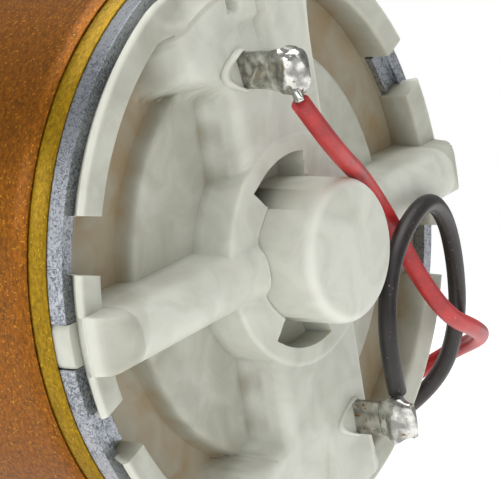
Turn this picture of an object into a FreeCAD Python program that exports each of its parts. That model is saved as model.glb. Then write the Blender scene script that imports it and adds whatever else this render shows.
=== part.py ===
"""Geared dc motor: a brushed motor with a nylon end cap on a spur gearbox with an offset output shaft.

X runs along the motor's axis, towards the output shaft. Z is up. The origin is on the gearbox's
mounting face, in line with the motor's axis. All sizes are in millimetres.
"""
import FreeCAD, Part
import math
import os
from FreeCAD import Vector

# ---- fits -------------------------------------------------------------------------------------
RUNNING = 0.03          # radial clearance of a shaft or pin that turns in a bore
SEATED = 0.01           # radial clearance of a part pressed into its seat
AIR = 0.3               # gap between parts that move past each other
THROUGH = 1.0           # how far a cutting tool runs past the face it cuts

# ---- gear train -------------------------------------------------------------------------------
MODULE = 0.5
PRESSURE_ANGLE = math.radians(25)
ADDENDUM = 0.8          # of the module: a stub tooth
DEDENDUM = 1.05         # of the module
BACKLASH = 0.10         # between the flanks of two meshed gears
SMALL_TEETH = 12        # motor pinion and the small gear of every pair
FIRST_TEETH = 26
SECOND_TEETH = 24
THIRD_TEETH = 24
OUTPUT_TEETH = 38
OUTPUT_OFFSET = 7.0     # output shaft above the motor's axis
SECOND_PIN_ANGLE = math.radians(-46)    # where the second pin lies, seen from the first
FACE_WIDTH = 3.4        # every gear
LAYER_GAP = 0.5         # between one layer of gears and the next
GEAR_PIN_R = 1.0
WHEEL_HUB_R = 2.1       # plain end of each small gear, pressed into its wheel
WHEEL_HOLE_SHARE = 0.72     # lightening holes lie at this share of the output gear's root radius
WHEEL_HOLE_R = 1.4
WHEEL_HOLES = 4

# ---- gearbox ----------------------------------------------------------------------------------
HOUSING_WALL = 1.2
HOUSING_CLEAR = 0.4     # round the gear that reaches furthest out
REAR_WALL = 2.5
COVER_THICKNESS = 3.0
COVER_EDGE = 0.4        # chamfer round the cover and the housing
PIN_SEAT = 2.0          # depth of each gear pin's seat
PILOT_R = 6.0
PILOT_LENGTH = 6.0
FACE_HOLE_PCD = 31.0
FACE_HOLE_COUNT = 6
FACE_HOLE_R = 1.25      # tapped M3
COVER_SCREW_INSET = 3.2     # of the screws' centres from the housing's outside
COVER_SCREW_COUNT = 3
COVER_SCREW_ANGLE = math.radians(30)
COVER_SCREW_R = 0.8
COVER_SCREW_HEAD_R = 1.55
COVER_SCREW_LENGTH = 9.0
COVER_BOSS_R = 1.6
MOTOR_SCREW_PCD = 17.0
MOTOR_SCREW_ANGLE = math.radians(150)
MOTOR_SCREW_R = 1.25
MOTOR_SCREW_HEAD_R = 2.3
MOTOR_SCREW_REACH = 1.2     # past the inside of the can's front wall
SLOT_WIDTH = 0.5        # screwdriver slots
SLOT_DEPTH = 0.5

# ---- output shaft -----------------------------------------------------------------------------
SHAFT_R = 3.0
SHAFT_REACH = 21.0      # from the mounting face to the shaft's end
FLAT_LENGTH = 12.0
FLAT_DEPTH = 0.5
SHAFT_CHAMFER = 0.4
JOURNAL_R = 3.5         # through the gear and the front bush
REAR_JOURNAL_R = 1.5
BUSH_WALL = 1.3
REAR_BUSH_WALL = 0.8
REAR_BOSS_WALL = 0.8
REAR_BUSH_LENGTH = 3.5

# ---- motor ------------------------------------------------------------------------------------
CAN_R = 17.6
CAN_LENGTH = 31.0
CAN_WALL = 0.8
CAN_FRONT = 1.2
CAN_EDGE = 1.0          # rounding of the drawn front edge
CAN_PILOT_R = 5.0
CAN_PILOT_LENGTH = 1.2
MOTOR_SHAFT_R = 1.25
BEARING_WALL = 1.75
FILM = 0.13             # thickness of one turn of film
FILM_GAP = 0.01
INNER_FILM_START = 1.05     # from the can's open end
OUTER_FILM_START = 2.25
FILM_FRONT = 1.6        # bare can left at the front
MAGNET_THICKNESS = 4.2
MAGNET_REAR = 3.1       # from the end of the cap's skirt to the magnets
MAGNET_ANGLE = 132.0    # degrees each magnet covers
MAGNET_FRONT = 3.0      # from the can's front wall
CLIP_THICKNESS = 0.5
CLIP_LENGTH = 9.0
CORE_INSET = 2.0        # from the magnets' front end to the core's
CORE_REAR_INSET = 2.5   # from the magnets' rear end to the core's
CORE_AIR = 0.5          # between the core and the magnets
CORE_SLOTS = 5
CORE_SLOT_R = 2.5
CORE_SLOT_RADIUS = 7.3
CORE_SLOT_MOUTH = 1.4
COIL_END = 2.8          # how far the windings stand out of the core
COIL_END_R = 9.6
COIL_END_INNER_R = 3.9
INSULATOR = 0.4
COMMUTATOR_R = 3.2
COMMUTATOR_HUB_R = 2.4
COMMUTATOR_GAP = 0.3
COMMUTATOR_LENGTH = 4.2
SPACER_R = 2.4

# ---- nylon end cap: heights are behind the plane of the can's open end ------------------------
KEY_ANGLE = -17.3       # degrees: the key tabs and the rib, turned about the axis
CAP_FLOOR = -1.2        # floor of the dished areas
CAP_PLATE = 1.6
CAP_SKIRT = 2.4
CAP_SKIRT_WALL = 1.4
RIM_HEIGHT = 1.1
RIM_WIDTH = 1.8
RIM_OVERLAP = 0.7       # of the rim on the can's end face
PLAIN_GAP_ANGLES = (17.8, 197.8)        # degrees from the rib to the rim's open gaps
STAKED_GAP_ANGLES = (155.8, 341.5)      # and to the gaps that the can's stakes lie in
RIM_GAP_WIDTH = 3.1
RIM_GAP_FLOOR = -0.8
KEY_WIDTH = 2.5
KEY_DEPTH = 1.6
KEY_CLEAR = 0.05
RIB_WIDTH = 3.2
RIB_HEIGHT = 3.4
RIB_END_INSET = 0.3     # of the rib's ends from the can's outside
RIB_EDGE = 1.5
BAND_WIDTH = 7.8        # plateau across the middle that carries the terminals
BAND_HEIGHT = 2.65
HUB_R = 6.6             # round the boss, level with the band
DISC_R = 12.0           # flat between the hub and the groove inside the rim
DISC_HEIGHT = 0.2
BOSS_R = 4.1
BOSS_HEIGHT = 6.2
BOSS_EDGE = 0.7
BOSS_END_WALL = 1.2
BEARING_LENGTH = 2.6
SHAFT_END_GAP = 0.5
WINDOW_R = 5.6          # outside of the brush windows, which start at the boss
WINDOW_ANGLE = 80.0     # degrees each window covers
STAKE_WIDTH = 2.6       # tongues of the can bent in over the cap
STAKE_REACH = 1.1
STAKE_THICKNESS = 0.5

# ---- terminals and brush gear -----------------------------------------------------------------
TERMINAL_WIDTH = 2.0
TERMINAL_THICKNESS = 0.4
TERMINAL_SIDE = 2.7     # from the band's middle
TERMINAL_RADIUS = 11.1
TERMINAL_HEIGHT = 6.7
SLOT_CLEAR = 0.05
FOOT_THICKNESS = 0.4
ARM_THICKNESS = 0.25
ARM_WIDTH = 2.0
ARM_PAST = 1.6          # of the arm's end past the commutator's middle
BRUSH_WIDTH = 1.6
BRUSH_LENGTH = 1.4
BRUSH_GAP = 0.05
SOLDER_R = 1.15         # across the tab's width
SOLDER_LENGTH = 2.2
SOLDER_DEPTH_R = 0.8    # across the tab's thickness

# ---- leads ------------------------------------------------------------------------------------
LEAD_D = 1.1
STRAND_D = 0.6
COIL_CENTRE = (-30.0, -19.5)
COIL_PITCH = 1.15
RED_COIL_R = 5.5        # to the middle of the turns
BLACK_COIL_R = 6.65
RED_TURNS = 3.5
BLACK_TURNS = 3.0
COIL_BASE = -18.1       # underside of both coils, on the tie
BARE_END = 3.0
BEND_SHARE = 0.45       # of a straight run that each bend at its ends may use
TIE_WIDTH = 2.2
TIE_THICKNESS = 0.35
TIE_CLEAR = 0.05
RED_ROUTE = ((-59.8, 6.1, 8.0), (-59.8, 3.9, 6.4), (-59.2, 1.2, 5.2), (-57.5, -3.2, 4.2), (-56.9, -6.9, 1.9),
             (-57.1, -9.8, -1.4), (-57.3, -13.2, -4.1), (-56.6, -17.4, -4.9), (-55.0, -21.0, -5.6),
             (-51.4, -22.8, -6.8), (-47.4, -23.0, -9.2), (-43.4, -23.6, -11.2), (-39.0, -24.4, -12.2),
             (-34.8, -24.9, -12.4), (-31.4, -25.0, -12.9))
BLACK_ROUTE = ((-58.5, -6.0, -8.2), (-59.0, -4.2, -5.9), (-58.7, -4.3, -2.0), (-58.4, -6.2, 1.1),
               (-57.8, -9.8, 3.1), (-56.7, -13.5, 2.0), (-56.0, -15.9, -0.9), (-55.1, -17.8, -4.5),
               (-53.2, -19.2, -8.0), (-49.4, -20.2, -10.9), (-45.0, -22.4, -12.7), (-40.4, -24.4, -13.8),
               (-35.4, -25.8, -14.1), (-30.6, -26.1, -14.1))
RED_TAIL = ((-30.0, -14.0, -17.5), (-32.2, -14.7, -17.5), (-33.6, -16.5, -17.55), (-33.7, -18.8, -17.6))
BLACK_TAIL = ((-30.0, -26.15, -17.5), (-26.6, -26.1, -17.5), (-23.0, -25.4, -17.6))

# ---- what follows from the sizes above --------------------------------------------------------
X_AXIS = Vector(1, 0, 0)


def tip_radius(teeth):
    return MODULE * (teeth / 2 + ADDENDUM)


def centre_distance(teeth_a, teeth_b):
    return MODULE * (teeth_a + teeth_b) / 2


HOUSING_INNER_R = OUTPUT_OFFSET + tip_radius(OUTPUT_TEETH) + HOUSING_CLEAR
HOUSING_R = HOUSING_INNER_R + HOUSING_WALL
COVER_REAR_X = -COVER_THICKNESS
LAYER_PITCH = FACE_WIDTH + LAYER_GAP
LAYERS = 4
HOUSING_FLOOR_X = COVER_REAR_X - LAYERS * LAYER_PITCH - 2 * LAYER_GAP
HOUSING_REAR_X = HOUSING_FLOOR_X - REAR_WALL
CAN_FRONT_X = HOUSING_REAR_X
CAN_END_X = CAN_FRONT_X - CAN_LENGTH
CAN_INNER_R = CAN_R - CAN_WALL
MAGNET_FRONT_X = CAN_FRONT_X - CAN_FRONT - MAGNET_FRONT
MAGNET_R = CAN_INNER_R - SEATED
CAP_R = CAN_INNER_R - SEATED
RIM_R = CAN_INNER_R + RIM_OVERLAP
RIM_INNER_R = RIM_R - RIM_WIDTH
CAP_PLATE_X = CAN_END_X - CAP_FLOOR + CAP_PLATE
MAGNET_REAR_X = CAP_PLATE_X + CAP_SKIRT + MAGNET_REAR
CORE_R = MAGNET_R - MAGNET_THICKNESS - CORE_AIR
CORE_FRONT_X = MAGNET_FRONT_X - CORE_INSET
CORE_REAR_X = MAGNET_REAR_X + CORE_REAR_INSET
BEARING_R = MOTOR_SHAFT_R + RUNNING + BEARING_WALL
COMMUTATOR_REAR_X = CAP_PLATE_X + AIR
FIRST_PIN_RADIUS = centre_distance(SMALL_TEETH, FIRST_TEETH)
FIRST_TO_OUTPUT = centre_distance(SMALL_TEETH, OUTPUT_TEETH)


def first_pin_place():
    """Where the first pin lies to mesh with the motor pinion and with the output gear."""
    z = (FIRST_PIN_RADIUS ** 2 - FIRST_TO_OUTPUT ** 2 + OUTPUT_OFFSET ** 2) / (2 * OUTPUT_OFFSET)
    return -math.sqrt(FIRST_PIN_RADIUS ** 2 - z ** 2), z


FIRST_PIN = first_pin_place()
SECOND_REACH = centre_distance(SMALL_TEETH, SECOND_TEETH)
SECOND_PIN = (FIRST_PIN[0] + SECOND_REACH * math.cos(SECOND_PIN_ANGLE),
              FIRST_PIN[1] + SECOND_REACH * math.sin(SECOND_PIN_ANGLE))
MOTOR_AXIS = (0.0, 0.0)
OUTPUT_AXIS = (0.0, OUTPUT_OFFSET)


# ---- shapes -----------------------------------------------------------------------------------
def rod(radius, x0, x1, centre=MOTOR_AXIS):
    """A cylinder along X between two stations."""
    return Part.makeCylinder(radius, x1 - x0, Vector(x0, *centre), X_AXIS)


def ring(outer, inner, x0, x1, centre=MOTOR_AXIS):
    """A tube along X."""
    return rod(outer, x0, x1, centre).cut(rod(inner, x0 - THROUGH, x1 + THROUGH, centre))


def block(x0, x1, y0, y1, z0, z1):
    """A box between two corners."""
    return Part.makeBox(x1 - x0, y1 - y0, z1 - z0, Vector(x0, y0, z0))


def turned(shape, degrees):
    """The shape turned about the motor's axis."""
    copy = shape.copy()
    copy.rotate(Vector(0, 0, 0), X_AXIS, degrees)
    return copy


def around(shape, count, start=0.0):
    """Copies of a shape spaced evenly about the motor's axis."""
    return [turned(shape, start + 360.0 * i / count) for i in range(count)]


def lay_along_x(flat, x0, length, centre=MOTOR_AXIS):
    """A face drawn in the XY plane, extruded along X from x0, with its own X and Y on Y and Z."""
    solid = flat.extrude(Vector(0, 0, length))
    solid.Placement = FreeCAD.Placement(Vector(x0, *centre), FreeCAD.Rotation(Vector(1, 1, 1), 120))
    return solid


def arc_sector(outer, inner, x0, x1, middle, width):
    """Part of a ring that covers width degrees about the angle middle."""
    half = math.radians(width / 2)
    mid = math.radians(middle)

    def at(radius, angle):
        return Vector(radius * math.cos(angle), radius * math.sin(angle), 0)

    edges = [Part.Arc(at(outer, mid - half), at(outer, mid), at(outer, mid + half)).toShape(),
             Part.LineSegment(at(outer, mid + half), at(inner, mid + half)).toShape(),
             Part.Arc(at(inner, mid + half), at(inner, mid), at(inner, mid - half)).toShape(),
             Part.LineSegment(at(inner, mid - half), at(outer, mid - half)).toShape()]
    return lay_along_x(Part.Face(Part.Wire(edges)), x0, x1 - x0)


def rounded(shape, radius, chosen):
    """The shape with every edge that chosen accepts rounded."""
    edges = [e for e in shape.Edges if chosen(e)]
    return shape.makeFillet(radius, edges)


def end_circle(x, radius):
    """A test for the circular edges at station x with about this radius."""
    def test(edge):
        curve = edge.Curve
        return (isinstance(curve, Part.Circle) and abs(curve.Radius - radius) < SEATED / 2
                and abs(edge.CenterOfMass.x - x) < SEATED / 2)
    return test


# ---- gears ------------------------------------------------------------------------------------
def involute(angle):
    return math.tan(angle) - angle


def gear_outline(teeth, phase):
    """The closed outline of a gear with one tooth at the angle phase."""
    pitch = MODULE * teeth / 2
    base = pitch * math.cos(PRESSURE_ANGLE)
    tip = tip_radius(teeth)
    root = pitch - DEDENDUM * MODULE
    foot = max(base, root)
    half_tooth = math.pi / (2 * teeth) - BACKLASH / (4 * pitch) + involute(PRESSURE_ANGLE)

    def half_angle(radius):
        return half_tooth - involute(math.acos(min(1.0, base / radius)))

    def at(radius, angle):
        return Vector(radius * math.cos(angle), radius * math.sin(angle), 0)

    middle = (foot + tip) / 2
    step = 2 * math.pi / teeth
    edges = []
    for number in range(teeth):
        centre = phase + number * step
        rise = [at(r, centre - half_angle(r)) for r in (foot, middle, tip)]
        fall = [at(r, centre + half_angle(r)) for r in (tip, middle, foot)]
        low = at(root, centre - half_angle(foot))
        high = at(root, centre + half_angle(foot))
        if foot > root:
            edges.append(Part.LineSegment(low, rise[0]).toShape())
        edges.append(Part.Arc(*rise).toShape())
        edges.append(Part.Arc(rise[-1], at(tip, centre), fall[0]).toShape())
        edges.append(Part.Arc(*fall).toShape())
        if foot > root:
            edges.append(Part.LineSegment(fall[-1], high).toShape())
        following = at(root, centre + step - half_angle(foot))
        edges.append(Part.Arc(high, at(root, centre + step / 2), following).toShape())
    return Part.Face(Part.Wire(edges))


def gear(teeth, x0, x1, centre, phase, bore):
    """A spur gear between two stations, with a plain bore."""
    body = lay_along_x(gear_outline(teeth, phase), x0, x1 - x0, centre)
    return body.cut(rod(bore, x0 - THROUGH, x1 + THROUGH, centre))


def meshed_phase(from_axis, from_teeth, from_phase, to_axis, to_teeth):
    """The phase that puts a gear in mesh with another one at rest."""
    line = math.atan2(to_axis[1] - from_axis[1], to_axis[0] - from_axis[0])
    share = (line - from_phase) * from_teeth / (2 * math.pi)
    return line + math.pi - (0.5 - share) * 2 * math.pi / to_teeth


def layer(number):
    """The two stations of a layer of gears, counted from the motor."""
    x0 = HOUSING_FLOOR_X + LAYER_GAP + number * LAYER_PITCH
    return x0, x0 + FACE_WIDTH


def gear_pair(wheel_teeth, wheel_layer, axis, wheel_phase):
    """A wheel and the small gear pressed into it, which reaches through the next layer."""
    x0, x1 = layer(wheel_layer)
    end = layer(wheel_layer + 1)[1]
    bore = GEAR_PIN_R + RUNNING
    wheel = gear(wheel_teeth, x0, x1, axis, wheel_phase, WHEEL_HUB_R + SEATED)
    small = gear(SMALL_TEETH, x1, end, axis, wheel_phase, bore)
    return wheel, small.fuse(ring(WHEEL_HUB_R, bore, x0, x1, axis)).removeSplitter()


def gear_train():
    """Every gear, in mesh at rest, by node name."""
    parts = {}
    x0, x1 = layer(0)
    parts["motor_pinion"] = gear(SMALL_TEETH, x0, x1, MOTOR_AXIS, 0.0, MOTOR_SHAFT_R + SEATED)
    first = meshed_phase(MOTOR_AXIS, SMALL_TEETH, 0.0, FIRST_PIN, FIRST_TEETH)
    second = meshed_phase(FIRST_PIN, SMALL_TEETH, first, SECOND_PIN, SECOND_TEETH)
    third = meshed_phase(SECOND_PIN, SMALL_TEETH, second, FIRST_PIN, THIRD_TEETH)
    output = meshed_phase(FIRST_PIN, SMALL_TEETH, third, OUTPUT_AXIS, OUTPUT_TEETH)
    parts["first_wheel"], parts["first_small_gear"] = gear_pair(FIRST_TEETH, 0, FIRST_PIN, first)
    parts["second_wheel"], parts["second_small_gear"] = gear_pair(SECOND_TEETH, 1, SECOND_PIN, second)
    parts["third_wheel"], parts["third_small_gear"] = gear_pair(THIRD_TEETH, 2, FIRST_PIN, third)
    x0, x1 = layer(3)
    wheel = gear(OUTPUT_TEETH, x0, x1, OUTPUT_AXIS, output, JOURNAL_R + SEATED)
    hole_radius = WHEEL_HOLE_SHARE * MODULE * (OUTPUT_TEETH / 2 - DEDENDUM)
    for number in range(WHEEL_HOLES):
        angle = 2 * math.pi * number / WHEEL_HOLES
        place = (OUTPUT_AXIS[0] + hole_radius * math.cos(angle),
                 OUTPUT_AXIS[1] + hole_radius * math.sin(angle))
        wheel = wheel.cut(rod(WHEEL_HOLE_R, x0 - THROUGH, x1 + THROUGH, place))
    parts["output_gear"] = wheel
    return parts


# ---- gearbox ----------------------------------------------------------------------------------
def on_circle(pcd, count, start=0.0):
    """Centres of holes spaced evenly on a pitch circle."""
    angles = [start + 2 * math.pi * i / count for i in range(count)]
    return [(pcd / 2 * math.cos(a), pcd / 2 * math.sin(a)) for a in angles]


COVER_SCREW_PCD = 2 * (HOUSING_R - COVER_SCREW_INSET)
COVER_SCREW_PLACES = on_circle(COVER_SCREW_PCD, COVER_SCREW_COUNT, COVER_SCREW_ANGLE)
MOTOR_SCREW_PLACES = on_circle(MOTOR_SCREW_PCD, 2, MOTOR_SCREW_ANGLE)
REAR_BUSH_R = REAR_JOURNAL_R + RUNNING + REAR_BUSH_WALL
FRONT_BUSH_R = JOURNAL_R + RUNNING + BUSH_WALL


def countersunk_screw(radius, head_radius, head_x, tip_x, centre):
    """A slotted screw whose head lies flush at head_x and whose shank runs to -X."""
    depth = head_radius - radius
    shank = rod(radius, tip_x, head_x, centre)
    head = Part.makeCone(radius, head_radius, depth, Vector(head_x - depth, *centre), X_AXIS)
    y, z = centre
    slot = block(head_x - SLOT_DEPTH, head_x + THROUGH, y - head_radius, y + head_radius,
                 z - SLOT_WIDTH / 2, z + SLOT_WIDTH / 2)
    return shank.fuse(head).cut(slot).removeSplitter()


def countersink(shape, radius, head_radius, head_x, depth, centre):
    """The shape with a screw's hole and the seat of its head cut into it."""
    sink = head_radius - radius
    hole = rod(radius + SEATED, head_x - depth, head_x + THROUGH, centre)
    seat = Part.makeCone(radius + SEATED, head_radius + SEATED, sink,
                         Vector(head_x - sink, *centre), X_AXIS)
    return shape.cut(hole).cut(seat)


def housing():
    """The cup that holds the gear pins, the output shaft's rear bush and the motor."""
    shell = rod(HOUSING_R, HOUSING_REAR_X, COVER_REAR_X)
    cavity = rod(HOUSING_INNER_R, HOUSING_FLOOR_X, COVER_REAR_X + THROUGH)
    for place in COVER_SCREW_PLACES:
        cavity = cavity.cut(rod(COVER_BOSS_R, HOUSING_FLOOR_X, COVER_REAR_X + THROUGH, place))
    shell = shell.cut(cavity)
    boss_end = HOUSING_FLOOR_X + LAYER_GAP + REAR_BUSH_LENGTH
    boss = rod(REAR_BUSH_R + REAR_BOSS_WALL, HOUSING_FLOOR_X, boss_end, OUTPUT_AXIS)
    shell = shell.fuse(boss)
    shell = shell.cut(rod(REAR_BUSH_R + SEATED, HOUSING_FLOOR_X + LAYER_GAP, boss_end + THROUGH, OUTPUT_AXIS))
    shell = shell.cut(rod(CAN_PILOT_R + SEATED, HOUSING_REAR_X - THROUGH,
                          HOUSING_REAR_X + CAN_PILOT_LENGTH + SEATED))
    shell = shell.cut(rod(BEARING_R, HOUSING_REAR_X, HOUSING_FLOOR_X + THROUGH))
    for pin in (FIRST_PIN, SECOND_PIN):
        shell = shell.cut(rod(GEAR_PIN_R + SEATED, HOUSING_FLOOR_X - PIN_SEAT,
                              HOUSING_FLOOR_X + THROUGH, pin))
    for place in MOTOR_SCREW_PLACES:
        shell = countersink(shell, MOTOR_SCREW_R, MOTOR_SCREW_HEAD_R, HOUSING_FLOOR_X,
                            REAR_WALL + THROUGH, place)
    for place in COVER_SCREW_PLACES:
        shell = shell.cut(rod(COVER_SCREW_R + SEATED, COVER_REAR_X - COVER_SCREW_LENGTH,
                              COVER_REAR_X + THROUGH, place))
    return shell.removeSplitter()


def front_cover():
    """The plate with the pilot boss, the tapped mounting holes and the gear pins' front seats."""
    plate = rod(HOUSING_R, COVER_REAR_X, 0)
    plate = plate.makeChamfer(COVER_EDGE, [e for e in plate.Edges if end_circle(0, HOUSING_R)(e)])
    plate = plate.fuse(rod(PILOT_R, 0, PILOT_LENGTH, OUTPUT_AXIS))
    plate = plate.cut(rod(FRONT_BUSH_R + SEATED, COVER_REAR_X - THROUGH, PILOT_LENGTH + THROUGH, OUTPUT_AXIS))
    for place in on_circle(FACE_HOLE_PCD, FACE_HOLE_COUNT):
        plate = plate.cut(rod(FACE_HOLE_R, COVER_REAR_X - THROUGH, THROUGH, place))
    for place in COVER_SCREW_PLACES:
        plate = countersink(plate, COVER_SCREW_R, COVER_SCREW_HEAD_R, 0, COVER_THICKNESS + THROUGH, place)
    for pin in (FIRST_PIN, SECOND_PIN):
        plate = plate.cut(rod(GEAR_PIN_R + SEATED, COVER_REAR_X - THROUGH, COVER_REAR_X + PIN_SEAT, pin))
    return plate.removeSplitter()


def output_shaft():
    """The stepped shaft, with a flat on its free end."""
    rear = HOUSING_FLOOR_X + LAYER_GAP + SEATED
    gear_rear = layer(3)[0]
    step = PILOT_LENGTH + AIR
    flat_start = SHAFT_REACH - FLAT_LENGTH
    shaft = rod(REAR_JOURNAL_R, rear, gear_rear, OUTPUT_AXIS)
    shaft = shaft.fuse(rod(JOURNAL_R, gear_rear, step, OUTPUT_AXIS))
    shaft = shaft.fuse(rod(SHAFT_R, step, flat_start, OUTPUT_AXIS))
    tip = rod(SHAFT_R, flat_start, SHAFT_REACH, OUTPUT_AXIS)
    tip = tip.makeChamfer(SHAFT_CHAMFER, [e for e in tip.Edges if end_circle(SHAFT_REACH, SHAFT_R)(e)])
    flat = block(flat_start, SHAFT_REACH + THROUGH, -PILOT_R, PILOT_R,
                 OUTPUT_OFFSET + SHAFT_R - FLAT_DEPTH, OUTPUT_OFFSET + PILOT_R)
    return shaft.fuse(tip.cut(flat))


def pin_spacers():
    """Loose spacers that keep the gears at their stations on the two pins."""
    slack = LAYER_GAP / 5
    bore = GEAR_PIN_R + RUNNING
    spans = [(FIRST_PIN, HOUSING_FLOOR_X, layer(0)[0] - slack),
             (FIRST_PIN, layer(1)[1] + slack, layer(2)[0] - slack),
             (FIRST_PIN, layer(3)[1] + slack, COVER_REAR_X),
             (SECOND_PIN, HOUSING_FLOOR_X, layer(1)[0] - slack),
             (SECOND_PIN, layer(2)[1] + slack, COVER_REAR_X)]
    return Part.makeCompound([ring(WHEEL_HUB_R - AIR, bore, x0, x1, pin) for pin, x0, x1 in spans])


def gearbox_parts():
    """The fixed pieces of the gearbox and its output shaft, by node name."""
    pin_ends = (HOUSING_FLOOR_X - PIN_SEAT + SEATED, COVER_REAR_X + PIN_SEAT - SEATED)
    cover_screw_tip = COVER_REAR_X - COVER_SCREW_LENGTH + AIR
    motor_screw_tip = CAN_FRONT_X - CAN_FRONT - MOTOR_SCREW_REACH
    return {
        "gearbox_housing": housing(),
        "gearbox_front_cover": front_cover(),
        "first_gear_pin": rod(GEAR_PIN_R, *pin_ends, FIRST_PIN),
        "second_gear_pin": rod(GEAR_PIN_R, *pin_ends, SECOND_PIN),
        "gear_pin_spacers": pin_spacers(),
        "cover_screws": Part.makeCompound(
            [countersunk_screw(COVER_SCREW_R, COVER_SCREW_HEAD_R, 0, cover_screw_tip, p)
             for p in COVER_SCREW_PLACES]),
        "motor_screws": Part.makeCompound(
            [countersunk_screw(MOTOR_SCREW_R, MOTOR_SCREW_HEAD_R, HOUSING_FLOOR_X, motor_screw_tip, p)
             for p in MOTOR_SCREW_PLACES]),
        "output_shaft": output_shaft(),
        "output_front_bush": ring(FRONT_BUSH_R, JOURNAL_R + RUNNING, COVER_REAR_X, PILOT_LENGTH, OUTPUT_AXIS),
        "output_rear_bush": ring(REAR_BUSH_R, REAR_JOURNAL_R + RUNNING, HOUSING_FLOOR_X + LAYER_GAP,
                                 HOUSING_FLOOR_X + LAYER_GAP + REAR_BUSH_LENGTH, OUTPUT_AXIS),
    }


# ---- motor ------------------------------------------------------------------------------------
def key_blocks(width, depth, outer):
    """Two blocks at the ends of the key's line, from the can's open end forwards."""
    one = block(CAN_END_X, CAN_END_X + depth, CAN_INNER_R - THROUGH, outer, -width / 2, width / 2)
    return [turned(one, KEY_ANGLE), turned(one, KEY_ANGLE + 180)]


def stake(angle):
    """A tongue of the can's end bent in over the cap, in a gap of its rim."""
    x0 = CAN_END_X - RIM_GAP_FLOOR - STAKE_THICKNESS
    tongue = block(x0, x0 + STAKE_THICKNESS, CAN_INNER_R - STAKE_REACH, CAN_INNER_R + CAN_WALL / 2,
                   -STAKE_WIDTH / 2, STAKE_WIDTH / 2)
    return turned(tongue, angle)


def motor_can():
    """The drawn steel cup, with the cap's key slots, the stakes and the front bearing's pilot."""
    cup = rod(CAN_R, CAN_END_X, CAN_FRONT_X)
    cup = rounded(cup, CAN_EDGE, end_circle(CAN_FRONT_X, CAN_R))
    cup = cup.cut(rod(CAN_INNER_R, CAN_END_X - THROUGH, CAN_FRONT_X - CAN_FRONT))
    cup = cup.fuse(rod(CAN_PILOT_R, CAN_FRONT_X - CAN_FRONT, CAN_FRONT_X + CAN_PILOT_LENGTH))
    inside_x = CAN_FRONT_X - CAN_FRONT - THROUGH
    cup = cup.cut(rod(BEARING_R + SEATED, inside_x, CAN_FRONT_X + CAN_PILOT_LENGTH + THROUGH))
    for place in MOTOR_SCREW_PLACES:
        cup = cup.cut(rod(MOTOR_SCREW_R + SEATED, inside_x, CAN_FRONT_X + THROUGH, place))
    for slot in key_blocks(KEY_WIDTH, KEY_DEPTH, CAN_R + THROUGH):
        cup = cup.cut(slot)
    for angle in STAKED_GAP_ANGLES:
        cup = cup.fuse(stake(KEY_ANGLE + angle))
    return cup.removeSplitter()


def films():
    """Two turns of insulating film round the can; the outer one starts further from the cap."""
    front = CAN_FRONT_X - FILM_FRONT
    inner = CAN_R + FILM_GAP
    outer = inner + FILM + FILM_GAP
    return {"inner_film": ring(inner + FILM, inner, CAN_END_X + INNER_FILM_START, front),
            "outer_film": ring(outer + FILM, outer, CAN_END_X + OUTER_FILM_START, front)}


def rotor_core():
    """The slotted laminations."""
    core = ring(CORE_R, MOTOR_SHAFT_R + SEATED, CORE_REAR_X, CORE_FRONT_X)
    x0, x1 = CORE_REAR_X - THROUGH, CORE_FRONT_X + THROUGH
    slot = rod(CORE_SLOT_R, x0, x1, (CORE_SLOT_RADIUS, 0))
    half_mouth = CORE_SLOT_MOUTH / 2
    slot = slot.fuse(block(x0, x1, CORE_SLOT_RADIUS, CORE_R + THROUGH, -half_mouth, half_mouth))
    for tool in around(slot, CORE_SLOTS):
        core = core.cut(tool)
    return core


def rotor_windings():
    """The wound copper as the space it fills: the slots, and a ring at each end of the core."""
    front = CORE_FRONT_X + INSULATOR
    rear = CORE_REAR_X - INSULATOR
    coil = ring(COIL_END_R, COIL_END_INNER_R, front, front + COIL_END)
    coil = rounded(coil, COIL_END / 3, end_circle(front + COIL_END, COIL_END_R))
    back = ring(COIL_END_R, COIL_END_INNER_R, rear - COIL_END, rear)
    back = rounded(back, COIL_END / 3, end_circle(rear - COIL_END, COIL_END_R))
    coil = coil.fuse(back)
    fill = rod(CORE_SLOT_R - SEATED, rear, front, (CORE_SLOT_RADIUS, 0))
    for part in around(fill, CORE_SLOTS):
        coil = coil.fuse(part)
    return coil.removeSplitter()


def core_insulators():
    """A thin insulating disc on each end of the core, cut out for the slots."""
    discs = []
    for x0 in (CORE_FRONT_X, CORE_REAR_X - INSULATOR):
        disc = ring(COIL_END_R, MOTOR_SHAFT_R + SEATED, x0, x0 + INSULATOR)
        for tool in around(rod(CORE_SLOT_R, x0 - THROUGH, x0 + THROUGH, (CORE_SLOT_RADIUS, 0)), CORE_SLOTS):
            disc = disc.cut(tool)
        discs.append(disc)
    return Part.makeCompound(discs)


def commutator():
    """The commutator's moulded hub and its copper bars."""
    x0 = COMMUTATOR_REAR_X
    x1 = x0 + COMMUTATOR_LENGTH
    gap_angle = math.degrees(COMMUTATOR_GAP / COMMUTATOR_R)
    bar = arc_sector(COMMUTATOR_R, COMMUTATOR_HUB_R + SEATED, x0, x1, 0, 360 / CORE_SLOTS - gap_angle)
    return {"commutator_hub": ring(COMMUTATOR_HUB_R, MOTOR_SHAFT_R + SEATED, x0, x1),
            "commutator_bars": Part.makeCompound(around(bar, CORE_SLOTS, 180 / CORE_SLOTS))}


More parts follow.
